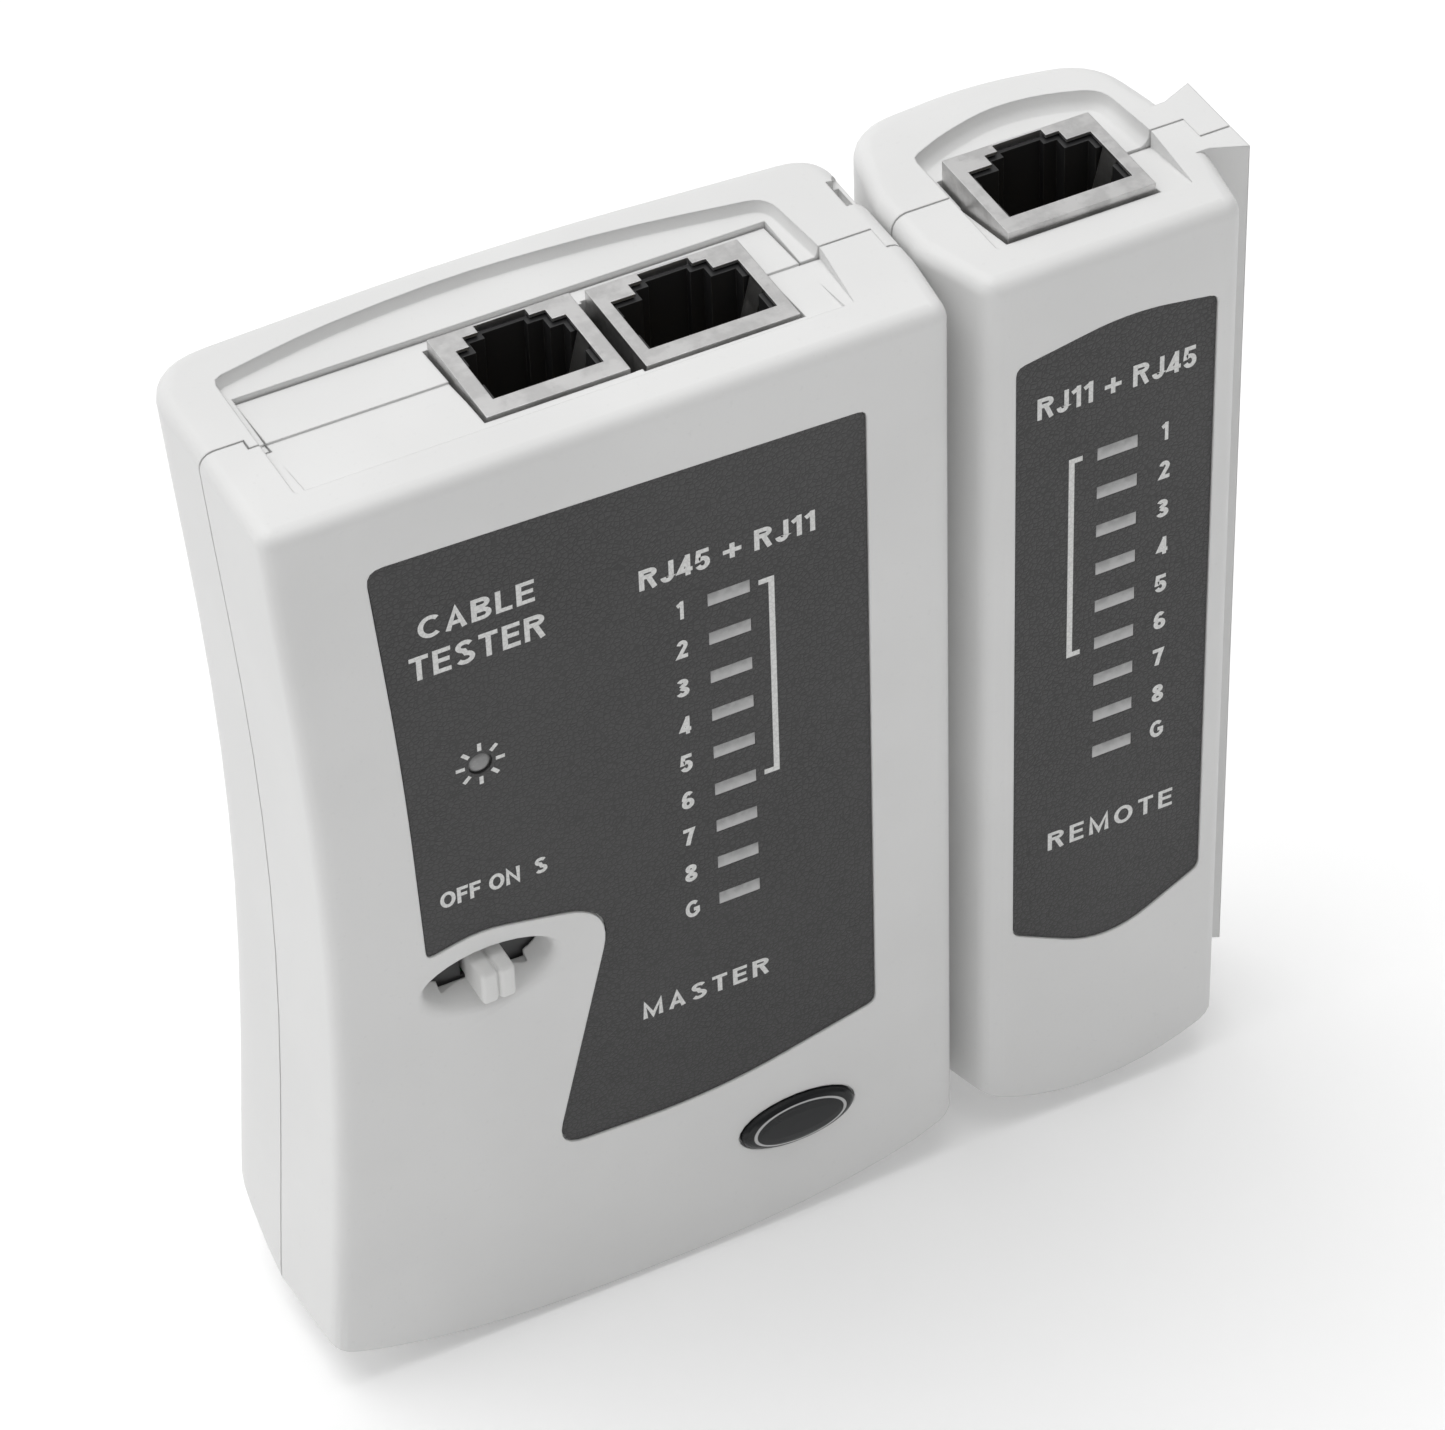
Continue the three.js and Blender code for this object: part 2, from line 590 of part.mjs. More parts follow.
const bay = { x0: BATTERY.x - 1.1, x1: 59.2, z0: BATTERY.z - 0.8, z1: BATTERY.z + BATTERY.h + 0.8, y0: 7.1 };
const bayWalls = box(bay.x0 - 1.2, bay.x1 + 1.2, bay.y0 - 1.1, DEPTH - 1, bay.z0 - 1.2, bay.z1 + 1.2).subtract(
  box(bay.x0, bay.x1, bay.y0, DEPTH + 5, bay.z0, bay.z1),
);
const doorOpening = box(DOOR.x0 - 0.25, DOOR.x1 + 0.25, DEPTH - 2.9, DEPTH + 5, bay.z0, DOOR.z1 + 0.25);
const doorTrack = box(DOOR.x0 - 0.25, DOOR.x1 + 0.25, DEPTH - 2.15, DEPTH + 5, -5, DOOR.z1 + 0.25);
const doorGrooves = box(DOOR.x0 - 1.5, DOOR.x1 + 1.5, DEPTH - 2.15, DEPTH - 1.2, -5, DOOR.z1 - 1);
const masterRear = cutAll(
  union([
    masterShell.subtract(MASTER_ZONE.cut),
    box(DOOR.x0 - 3.2, DOOR.x1 + 3.2, DEPTH - 3.3, DEPTH - 0.6, 6, DOOR.z1 + 1.5).intersect(masterOuter),
    ...MASTER_SCREWS.map((at) => rearBoss(at).intersect(masterOuter)),
  ]),
  [masterTopOpenings, doorTrack, doorGrooves, ...MASTER_SCREWS.map(rearCounterbore)],
)
  .add(bayWalls.intersect(masterOuter).subtract(doorTrack).subtract(doorGrooves))
  .subtract(doorOpening)
  .subtract(box(bay.x0, bay.x1, bay.y0, DEPTH - 2, bay.z0, bay.z1))
  .subtract(box(50.5, 58.6, bay.y0 - 3, bay.y0 + 12.5, bay.z1 - 1, bay.z1 + 2))
  .subtract(union(MASTER_SCREWS.map(rearBore)));
addNode(master, "master_rear_shell", masterRear, FINISH.shell);

const doorRibs = Array.from({ length: 5 }, (_, i) =>
  box(25.5, 40.5, DEPTH - 0.8, DEPTH + 0.4, 38 - i * 2.2 - 0.45, 38 - i * 2.2 + 0.45),
);
const doorPlate = union([
  box(DOOR.x0, DOOR.x1, DEPTH - DOOR.thick - 0.1, DEPTH + 5, -5, DOOR.z1).intersect(masterOuter),
  box(DOOR.x0 - 1.2, DOOR.x1 + 1.2, DEPTH - DOOR.thick - 0.1, DEPTH - 1.4, 15.5, DOOR.z1 - 1.3),
]);
addNode(master, "battery_door", union([doorPlate, ...doorRibs]), FINISH.shell);

const labelPlate = (outline, slots) => cutAll(prismY(outline, LABEL_DEPTH - LABEL_THICK, LABEL_DEPTH - 0.02), slots);
addNode(
  master,
  "master_label",
  labelPlate(masterLabelOutline(0), [
    ...ledCentres(MASTER_LED).map((at) => ledSlot(at, 0.12, -1, 1)),
    barY(POWER_LED.x, POWER_LED.z, POWER_LED.r + 0.12, -1, 1),
  ]),
  FINISH.label,
);
ledCentres(MASTER_LED).forEach((at, i) =>
  addNode(master, "master_led_" + (i + 1), ledSlot(at, 0, 0.3, BOARD_Y - 0.2), FINISH.lens),
);
addNode(master, "power_led", barY(POWER_LED.x, POWER_LED.z, POWER_LED.r, 0.25, BOARD_Y - 0.2), FINISH.lens);

const boardY1 = BOARD_Y + BOARD_THICK;
const masterBoard = cutAll(box(4.6, 63.6, BOARD_Y, boardY1 - 0.1, 43.5, 103.6), [
  box(SWITCH.x - 5.2, SWITCH.x + 5.2, 0, 10, SWITCH.z - 2.4, SWITCH.z + 2.4),
  ...MASTER_SCREWS.map((at) => barY(at.x, at.z, 3.3, 0, 20)),
]);
addNode(master, "master_board", masterBoard, FINISH.board);
makeSocket(master, "a");
makeSocket(master, "b");

const badge = loft(
  [
    [0.55, 0],
    [-0.1, 0],
    [-0.5, 0.5],
    [-0.75, 1.5],
    [-0.85, 3],
  ].map(([y, shrink]) =>
    ellipse(BADGE.x, BADGE.z, BADGE.w / 2 - shrink, BADGE.h / 2 - 0.6 * shrink, 28).map(
      (p) => new THREE.Vector3(p.x, y, p.y),
    ),
  ),
);
addNode(master, "badge", badge, FINISH.badge);

// The slide switch sits behind the board, its stem reaching out through the well.
const switchBody = box(SWITCH.x - 7.2, SWITCH.x + 7.2, boardY1 + 0.2, boardY1 + 1.3, SWITCH.z - 3.6, SWITCH.z + 3.6)
  .add(box(SWITCH.x - 6.2, SWITCH.x + 6.2, boardY1 + 1, boardY1 + 1.35, SWITCH.z - 3.2, SWITCH.z + 3.2))
  .subtract(box(SWITCH.x - 5.4, SWITCH.x + 5.4, boardY1 - 1, boardY1 + 0.95, SWITCH.z - 2.3, SWITCH.z + 2.3));
addNode(master, "switch_body", switchBody, FINISH.steel);
const knobHalf = SWITCH.knob / 2;
const knobHead = rounded([
  [SWITCH.x - knobHalf, -SWITCH.proud, 0.6, 3],
  [SWITCH.x - 0.1, -SWITCH.proud, 0.3, 2],
  [SWITCH.x, 0.5 - SWITCH.proud, 0],
  [SWITCH.x + 0.1, -SWITCH.proud, 0.3, 2],
  [SWITCH.x + knobHalf, -SWITCH.proud, 0.6, 3],
  [SWITCH.x + knobHalf, 3.4, 0],
  [SWITCH.x - knobHalf, 3.4, 0],
]);
const knob = union([
  prismZ(knobHead, SWITCH.z - 1.95, SWITCH.z + 1.95),
  box(SWITCH.x - 1.5, SWITCH.x + 1.5, 3.2, boardY1 + 0.75, SWITCH.z - 1.8, SWITCH.z + 1.8),
]);
addNode(master, "switch_knob", knob, FINISH.knob);
// A dark slip behind the well moves with the knob and keeps dust out.
const slip = box(SWITCH.x - 8.8, SWITCH.x + 8.8, 3, 3.5, SWITCH.z - 3.4, SWITCH.z + 3.5).subtract(
  box(SWITCH.x - knobHalf - 0.1, SWITCH.x + knobHalf + 0.1, 2, 5, SWITCH.z - 2.05, SWITCH.z + 2.05),
);
addNode(master, "switch_slip", slip, FINISH.black);

// ---------- power ----------
const B = BATTERY;
const cell = prismX(
  rounded([
    [B.y, B.z, 2.2, 4],
    [B.y + B.d, B.z, 2.2, 4],
    [B.y + B.d, B.z + B.h, 2.2, 4],
    [B.y, B.z + B.h, 2.2, 4],
  ]),
  B.x,
  B.x + B.l,
);
const terminals = [-1, 1].map((side) =>
  solid(
    new THREE.CylinderGeometry(side > 0 ? 3.4 : 2.8, side > 0 ? 3.4 : 2.8, 2.4, 16)
      .rotateZ(Math.PI / 2)
      .translate(B.x + B.l + 1.1, B.y + B.d / 2, B.z + B.h / 2 + side * 6.35),
  ),
);
addNode(master, "battery", union([cell, ...terminals]), FINISH.cell);
const snapX = B.x + B.l + 2.6;
const snap = prismX(
  rounded([
    [B.y + 2.4, B.z + 1.4, 2.5, 3],
    [B.y + B.d - 2.4, B.z + 1.4, 2.5, 3],
    [B.y + B.d - 2.4, B.z + B.h - 1.4, 2.5, 3],
    [B.y + 2.4, B.z + B.h - 1.4, 2.5, 3],
  ]),
  snapX,
  snapX + 2.6,
);
addNode(master, "battery_snap", snap, FINISH.black);
const makeLead = (name, route, material) => {
  const path = new THREE.CatmullRomCurve3(route.map((p) => new THREE.Vector3(...p)));
  const circle = new THREE.Shape(ellipse(0, 0, 0.65, 0.65, 7));
  const geometry = new THREE.ExtrudeGeometry(circle, { steps: 14, extrudePath: path });
  addNode(master, name, solid(geometry), material);
};
const leadStart = B.z + B.h - 1;
makeLead(
  "battery_lead_red",
  [
    [snapX + 1, B.y + 5.2, leadStart],
    [snapX + 0.6, B.y + 4.5, leadStart + 3.6],
    [snapX - 0.1, B.y + 1.4, leadStart + 7.8],
    [snapX - 0.6, 6.4, leadStart + 12],
  ],
  FINISH.red,
);
makeLead(
  "battery_lead_black",
  [
    [snapX + 1.4, B.y + 9.6, leadStart],
    [snapX + 0.2, B.y + 8.2, leadStart + 4],
    [snapX - 2.2, B.y + 3, leadStart + 8.6],
    [snapX - 3.4, 6.4, leadStart + 13.2],
  ],
  FINISH.black,
);

const chipBody = box(34, 54, boardY1 + 0.7, boardY1 + 4, 58, 64.4);
const chipLegs = Array.from({ length: 8 }, (_, i) =>
  box(35.2 + i * 2.54 - 0.3, 35.2 + i * 2.54 + 0.3, boardY1 + 0.1, boardY1 + 2.2, 57.2, 65.2),
);
addNode(master, "master_chip", union([chipBody, ...chipLegs]), FINISH.black);
MASTER_SCREWS.forEach((at, i) => makeScrew(master, "master_screw_" + (i + 1), at));

// ---------- remote ----------
const remoteShell = remoteOuter.subtract(remoteInner).add(remoteRail).subtract(remoteGroove);
const remoteTopOpenings = union([remoteRecess, socketHole(SOCKETS.c, 0.35)]);
const remoteFront = cutAll(union([remoteShell.intersect(REMOTE_ZONE.front), ...REMOTE_SCREWS.map(frontBoss)]), [
  remoteTopOpenings,
  prismY(remoteLabelOutline(0.12), -1, LABEL_DEPTH),
  ...ledCentres(REMOTE_LED).map((at) => ledSlot(at, 0.3, -1, WALL + 1)),
  ...REMOTE_SCREWS.map(frontPilot),
]);
addNode(remote, "remote_front_shell", remoteFront, FINISH.shell);
const remoteRear = cutAll(
  union([remoteShell.subtract(REMOTE_ZONE.cut), ...REMOTE_SCREWS.map((at) => rearBoss(at).intersect(remoteOuter))]),
  [remoteTopOpenings, ...REMOTE_SCREWS.map(rearCounterbore), ...REMOTE_SCREWS.map(rearBore)],
);
addNode(remote, "remote_rear_shell", remoteRear, FINISH.shell);
addNode(
  remote,
  "remote_label",
  labelPlate(
    remoteLabelOutline(0),
    ledCentres(REMOTE_LED).map((at) => ledSlot(at, 0.12, -1, 1)),
  ),
  FINISH.label,
);
ledCentres(REMOTE_LED).forEach((at, i) =>
  addNode(remote, "remote_led_" + (i + 1), ledSlot(at, 0, 0.3, BOARD_Y - 0.2), FINISH.lens),
);
const remoteBoard = cutAll(box(75.6, 94.6, BOARD_Y, boardY1 - 0.1, 40, 103.6), [
  barY(REMOTE_SCREWS[1].x, REMOTE_SCREWS[1].z, 3.3, 0, 20),
]);
addNode(remote, "remote_board", remoteBoard, FINISH.board);
makeSocket(remote, "c");
REMOTE_SCREWS.forEach((at, i) => makeScrew(remote, "remote_screw_" + (i + 1), at));

export default tester;
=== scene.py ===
"""Looks of the two-piece network cable tester: a master unit with the remote unit parked on its rail."""

import json
import logging
import math
from collections.abc import Iterable, Sequence
from dataclasses import dataclass, field
from enum import Enum
from typing import Any, ClassVar

import bmesh
import bpy
from mathutils import Matrix, Vector

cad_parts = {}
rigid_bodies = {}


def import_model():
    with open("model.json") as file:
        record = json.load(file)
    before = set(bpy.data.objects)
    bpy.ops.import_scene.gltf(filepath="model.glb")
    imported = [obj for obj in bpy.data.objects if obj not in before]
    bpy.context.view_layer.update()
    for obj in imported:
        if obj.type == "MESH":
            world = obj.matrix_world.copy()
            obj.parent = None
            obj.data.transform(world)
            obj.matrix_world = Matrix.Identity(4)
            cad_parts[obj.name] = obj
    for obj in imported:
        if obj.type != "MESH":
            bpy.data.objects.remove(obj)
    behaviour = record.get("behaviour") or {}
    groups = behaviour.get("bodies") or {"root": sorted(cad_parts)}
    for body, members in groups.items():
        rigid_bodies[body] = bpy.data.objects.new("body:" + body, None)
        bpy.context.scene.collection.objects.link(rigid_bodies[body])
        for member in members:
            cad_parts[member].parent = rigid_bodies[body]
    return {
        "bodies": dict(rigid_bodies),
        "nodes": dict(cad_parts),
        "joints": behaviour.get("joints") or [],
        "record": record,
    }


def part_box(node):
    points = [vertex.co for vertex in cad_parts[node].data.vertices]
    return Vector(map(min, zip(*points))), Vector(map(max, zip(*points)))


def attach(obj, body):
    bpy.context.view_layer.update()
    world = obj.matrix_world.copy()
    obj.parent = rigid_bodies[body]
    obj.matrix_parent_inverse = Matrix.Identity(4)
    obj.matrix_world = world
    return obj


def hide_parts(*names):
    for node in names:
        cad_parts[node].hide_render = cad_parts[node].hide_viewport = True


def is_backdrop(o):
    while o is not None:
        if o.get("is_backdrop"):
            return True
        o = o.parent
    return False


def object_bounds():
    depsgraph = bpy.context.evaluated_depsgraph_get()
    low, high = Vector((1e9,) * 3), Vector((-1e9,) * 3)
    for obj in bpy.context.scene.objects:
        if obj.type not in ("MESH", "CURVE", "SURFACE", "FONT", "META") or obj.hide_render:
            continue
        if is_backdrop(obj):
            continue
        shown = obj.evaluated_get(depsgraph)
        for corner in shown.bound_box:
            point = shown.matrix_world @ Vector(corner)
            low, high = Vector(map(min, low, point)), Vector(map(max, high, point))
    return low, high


log = logging.getLogger("cable_tester")
MM = 0.001

Colour = tuple[float, float, float]


def shade(colour: Colour, share: float) -> Colour:
    """The colour times a share."""
    return tuple(share * c for c in colour)


def lighten(colour: Colour, share: float) -> Colour:
    """The colour moved towards white by a share."""
    return tuple(c + share * (1 - c) for c in colour)


class Body(Enum):
    """The moving bodies of the tester."""

    MASTER = "master_unit"
    REMOTE = "remote_unit"
    DOOR = "door"
    KNOB = "knob"


class Slot(Enum):
    """The material slots named in the part's record."""

    HOUSING = "housing_plastic"
    LABEL = "label_film"
    LENS = "led_lens"
    BOARD = "circuit_board"
    TIN = "tin_plate"
    SOCKET = "socket_plastic"
    GOLD = "contact_gold"
    BADGE = "badge_gloss"
    CAN = "switch_can"
    KNOB = "knob_plastic"
    BATTERY = "battery_case"
    BLACK = "black_plastic"
    RED = "red_lead"
    STEEL = "screw_steel"


# ---------------------------------------------------------------- shader recipes


class Wire:
    """One output socket of a node tree; arithmetic on it adds the Math nodes."""

    def __init__(self, recipe: "Recipe", socket: bpy.types.NodeSocket) -> None:
        """Keep the socket and the recipe that it belongs to."""
        self.recipe = recipe
        self.socket = socket

    def _math(self, operation: str, first: Any, second: Any = 0.0) -> "Wire":
        """Add one Math node.

        Args:
            operation: The node's operation.
            first: Its first input, a Wire or a number.
            second: Its second input.

        Returns:
            The node's result.
        """
        made = self.recipe.node("ShaderNodeMath", {"operation": operation}, {0: first, 1: second})
        return Wire(self.recipe, made.outputs[0])

    def __add__(self, other: Any) -> "Wire":
        """Sum."""
        return self._math("ADD", self, other)

    __radd__ = __add__

    def __mul__(self, other: Any) -> "Wire":
        """Product."""
        return self._math("MULTIPLY", self, other)

    __rmul__ = __mul__

    def __sub__(self, other: Any) -> "Wire":
        """Difference."""
        return self._math("SUBTRACT", self, other)

    def __rsub__(self, other: Any) -> "Wire":
        """Difference taken from a number."""
        return self._math("SUBTRACT", other, self)

    def __truediv__(self, other: Any) -> "Wire":
        """Quotient."""
        return self._math("DIVIDE", self, other)

    def __pow__(self, other: Any) -> "Wire":
        """Power."""
        return self._math("POWER", self, other)

    def __abs__(self) -> "Wire":
        """Distance from zero."""
        return self._math("ABSOLUTE", self)

    def fraction(self) -> "Wire":
        """Part after the decimal point."""
        return self._math("FRACT", self)

    def ramp(self, low: float, high: float) -> "Wire":
        """Smooth step from 0 at low to 1 at high.

        Args:
            low: Where the step starts.
            high: Where it ends; it may be below low, which turns the step round.

        Returns:
            The stepped value.
        """
        settings = {"interpolation_type": "SMOOTHSTEP"}
        made = self.recipe.node("ShaderNodeMapRange", settings, {0: self, 1: low, 2: high})
        return Wire(self.recipe, made.outputs[0])


class Recipe:
    """A material under construction, with its shader and a coordinate in millimetres."""

    def __init__(self, title: str) -> None:
        """Start an empty material.

        Args:
            title: The material's name.
        """
        self.material = bpy.data.materials.new(title)
        self.material.use_nodes = True
        self.tree = self.material.node_tree
        self.tree.nodes.clear()
        self.output = self.node("ShaderNodeOutputMaterial", {}, {})
        self.shader = self.node("ShaderNodeBsdfPrincipled", {}, {})
        self.tree.links.new(self.shader.outputs[0], self.output.inputs["Surface"])
        self._place: Wire | None = None

    def node(
        self,
        kind: str,
        settings: dict[str, Any],
        sockets: dict[int | str, Any],
    ) -> bpy.types.Node:
        """Add a node.

        Args:
            kind: The node's type.
            settings: Its own settings, set before its sockets.
            sockets: Values or wires, by socket name or number.

        Returns:
            The node.
        """
        made = self.tree.nodes.new(kind)
        for key, value in settings.items():
            setattr(made, key, value)
        for key, value in sockets.items():
            if isinstance(value, Wire):
                self.tree.links.new(value.socket, made.inputs[key])
            else:
                made.inputs[key].default_value = value
        return made

    def place(self) -> Wire:
        """Object coordinates in millimetres."""
        if self._place is None:
            found = Wire(self, self.node("ShaderNodeTexCoord", {}, {}).outputs["Object"])
            sockets = {0: found, "Scale": 1 / MM}
            scaled = self.node("ShaderNodeVectorMath", {"operation": "SCALE"}, sockets)
            self._place = Wire(self, scaled.outputs[0])
        return self._place

    def axes(self) -> tuple[Wire, Wire, Wire]:
        """The three coordinates in millimetres, one by one."""
        split = self.node("ShaderNodeSeparateXYZ", {}, {0: self.place()})
        return Wire(self, split.outputs[0]), Wire(self, split.outputs[1]), Wire(self, split.outputs[2])

    def stretched(self, scale: Sequence[float], turn: Sequence[float] = (0, 0, 0)) -> Wire:
        """Coordinates scaled by axis, for drawn-out patterns.

        Args:
            scale: Factor along each axis.
            turn: Rotation in radians.

        Returns:
            The stretched coordinates.
        """
        sockets = {"Vector": self.place(), "Rotation": turn, "Scale": scale}
        return Wire(self, self.node("ShaderNodeMapping", {}, sockets).outputs[0])

    def noise(
        self,
        scale: float,
        detail: float = 2.0,
        rough: float = 0.5,
        at: Wire | None = None,
    ) -> Wire:
        """Cloudy noise.

        Args:
            scale: Features per millimetre.
            detail: Octaves.
            rough: Weight of the finer octaves.
            at: Coordinates, if not the plain ones.

        Returns:
            Noise from 0 to 1.
        """
        sockets = {"Vector": at or self.place(), "Scale": scale, "Detail": detail, "Roughness": rough}
        return Wire(self, self.node("ShaderNodeTexNoise", {}, sockets).outputs[0])

    def cells(self, scale: float, feature: str = "F1", at: Wire | None = None) -> Wire:
        """Cell pattern.

        Args:
            scale: Cells per millimetre.
            feature: Which distance the pattern gives.
            at: Coordinates, if not the plain ones.

        Returns:
            Distance in the pattern.
        """
        sockets = {"Vector": at or self.place(), "Scale": scale}
        made = self.node("ShaderNodeTexVoronoi", {"feature": feature}, sockets)
        return Wire(self, made.outputs["Distance"])

    def blend(self, amount: Any, first: Any, second: Any) -> Wire:
        """Mix of two colours.

        Args:
            amount: 0 gives the first colour and 1 the second.
            first: Colour or wire.
            second: Colour or wire.

        Returns:
            The mixed colour.
        """
        pair = [c if isinstance(c, Wire) else (*c, 1.0) for c in (first, second)]
        made = self.node("ShaderNodeMix", {"data_type": "RGBA"}, {0: amount, 6: pair[0], 7: pair[1]})
        return Wire(self, made.outputs[2])

    def edge_normal_and_mask(self, radius: float) -> tuple[Wire, Wire]:
        """Softened normal of the edges, and how much of an edge each spot is; the finishes paint their
        edge highlights with this mask.

        Args:
            radius: Width of the softening, in millimetres.

        Returns:
            The normal, and a mask that is 1 on edges.
        """
        rounded = self.node("ShaderNodeBevel", {"samples": 4}, {"Radius": radius * MM})
        soft = Wire(self, rounded.outputs[0])
        flat = Wire(self, self.node("ShaderNodeNewGeometry", {}, {}).outputs["Normal"])
        dot = self.node("ShaderNodeVectorMath", {"operation": "DOT_PRODUCT"}, {0: soft, 1: flat})
        return soft, Wire(self, dot.outputs["Value"]).ramp(0.995, 0.8)

    def bumped(
        self,
        height: Wire,
        depth: float,
        strength: float = 1.0,
        normal: Wire | None = None,
    ) -> Wire:
        """Relief.

        Args:
            height: Height from 0 to 1.
            depth: What 1 stands for, in millimetres.
            strength: Share of the relief that is used.
            normal: Normal under the relief.

        Returns:
            The relief's normal.
        """
        sockets: dict[int | str, Any] = {"Height": height, "Distance": depth * MM, "Strength": strength}
        if normal is not None:
            sockets["Normal"] = normal
        return Wire(self, self.node("ShaderNodeBump", {}, sockets).outputs[0])

    def set(self, **sockets: Any) -> bpy.types.Material:
        """Set the shader's sockets.

        Args:
            **sockets: Values or wires, with spaces in the socket's name written as underscores.

        Returns:
            The finished material.
        """
        for key, value in sockets.items():
            target = self.shader.inputs[key.replace("_", " ")]
            if isinstance(value, Wire):
                self.tree.links.new(value.socket, target)
            elif isinstance(value, tuple):
                target.default_value = (*value, 1.0)
            else:
                target.default_value = value
        return self.material


class Finish:
    """A surface finish, made once and then shared."""

    title: str
    _made: ClassVar[dict[str, bpy.types.Material]] = {}

    def material(self) -> bpy.types.Material:
        """The finish's material."""
        if self.title not in Finish._made:
            Finish._made[self.title] = self.mix()
        return Finish._made[self.title]

    def mix(self) -> bpy.types.Material:
        """Work the material out."""
        raise NotImplementedError


@dataclass(frozen=True)
class Moulded(Finish):
    """Injection-moulded plastic with a fine eroded grain, handling marks, softened edges and a painted
    highlight along them.
    """

    title: str
    colour: Colour
    rough: float = 0.5
    grain: float = 0.012
    grain_scale: float = 2.6
    edge: float = 0.25
    edge_light: float = 0.25
    specular: float = 0.4

    def mix(self) -> bpy.types.Material:
        """Work the material out."""
        r = Recipe(self.title)
        soft, edge = r.edge_normal_and_mask(self.edge)
        cloud = r.noise(0.045, 3)
        speck = r.noise(1.9, 2)
        base = r.blend(cloud.ramp(0.3, 0.7), shade(self.colour, 0.955), self.colour)
        base = r.blend(speck.ramp(0.62, 0.8) * 0.35, base, shade(self.colour, 0.9))
        # painted highlight: edges made paler in spots, standing in for light caught on the rounded
        # edges; it also lowers the roughness there
        painted_edge_highlight = edge * self.edge_light * r.noise(0.35, 2).ramp(0.3, 0.75)
        base = r.blend(painted_edge_highlight, base, lighten(self.colour, 0.35))
        scuff = r.noise(0.5, 4, 0.65, r.stretched((0.25, 0.25, 3), (0.3, 0.5, 0.2))).ramp(0.66, 0.78)
        grain = r.noise(self.grain_scale, 3, 0.6) * 0.75 + r.noise(0.4, 2) * 0.25
        return r.set(
            Base_Color=base,
            Roughness=self.rough + 0.1 * (cloud - 0.5) + 0.08 * scuff - 0.08 * painted_edge_highlight,
            Specular_IOR_Level=self.specular,
            Normal=r.bumped(grain, self.grain, 1.0, soft),
        )


@dataclass(frozen=True)
class GrainedFilm(Finish):
    """Dark printed film with a leather grain."""

    title: str
    colour: Colour
    depth: float = 0.05

    def mix(self) -> bpy.types.Material:
        """Work the material out."""
        r = Recipe(self.title)
        wander = r.noise(1.3, 2)
        cell = r.cells(1.9, "DISTANCE_TO_EDGE")
        crease = cell.ramp(0.0, 0.22)
        pore = r.noise(4.2, 3, 0.6)
        height = 0.5 * crease + 0.35 * pore + 0.25 * wander
        cloud = r.noise(0.05, 3)
        # painted shade: darker in the grain's creases, mixed with random darker patches (wander)
        base = r.blend(crease * 0.55 + wander * 0.45, shade(self.colour, 0.55), self.colour)
        base = r.blend(cloud.ramp(0.35, 0.75) * 0.3, base, shade(self.colour, 1.25))
        soft, edge = r.edge_normal_and_mask(0.1)
        # painted highlight: the film made paler grey along its edges
        base = r.blend(edge * 0.25, base, (0.2, 0.2, 0.2))
        return r.set(
            Base_Color=base,
            Roughness=0.55 - 0.12 * crease + 0.1 * (pore - 0.5),
            Specular_IOR_Level=0.45,
            Normal=r.bumped(height, self.depth, 0.9, soft),
        )


@dataclass(frozen=True)
class PrintInk(Finish):
    """Pale screen-printed ink that takes a little of the film's grain."""

    title: str = "print_ink"
    colour: Colour = (0.76, 0.76, 0.75)

    def mix(self) -> bpy.types.Material:
        """Work the material out."""
        r = Recipe(self.title)
        crease = r.cells(1.9, "DISTANCE_TO_EDGE").ramp(0.0, 0.2)
        thin = r.noise(2.8, 3, 0.6)
        base = r.blend(thin.ramp(0.6, 0.85) * 0.25, self.colour, shade(self.colour, 0.7))
        # painted shade: the ink made darker in the grain's creases
        base = r.blend(crease, shade(self.colour, 0.86), base)
        return r.set(
            Base_Color=base,
            Roughness=0.5 + 0.15 * (thin - 0.5),
            Normal=r.bumped(crease * 0.6 + thin * 0.4, 0.03, 0.8),
        )


@dataclass(frozen=True)
class LampResin(Finish):
    """Clouded window of unlit lamps, with painted shade that darkens each one towards its upper edge."""

    title: str
    window: tuple[float, float]
    pitch: float
    colour: Colour = (0.3, 0.3, 0.3)

    def mix(self) -> bpy.types.Material:
        """Work the material out."""
        r = Recipe(self.title)
        _, _, z = r.axes()
        low, high = self.window
        share = self.pitch / (high - low)
        up = ((z - low) / self.pitch + 40).fraction() * share
        haze = r.noise(1.1, 3)
        speck = r.noise(6.0, 2)
        # painted shade: each window darker towards its top and paler at its lower edge
        base = r.blend(up.ramp(1.0, 0.0), shade(self.colour, 0.62), self.colour)
        base = r.blend(haze.ramp(0.35, 0.7) * 0.35, base, shade(self.colour, 1.25))
        base = r.blend(speck.ramp(0.6, 0.75) * 0.25, base, (0.6, 0.6, 0.6))
        return r.set(
            Base_Color=base,
            Roughness=0.34 + 0.15 * haze,
            Coat_Weight=0.15,
            Normal=r.bumped(speck, 0.008, 0.6),
        )


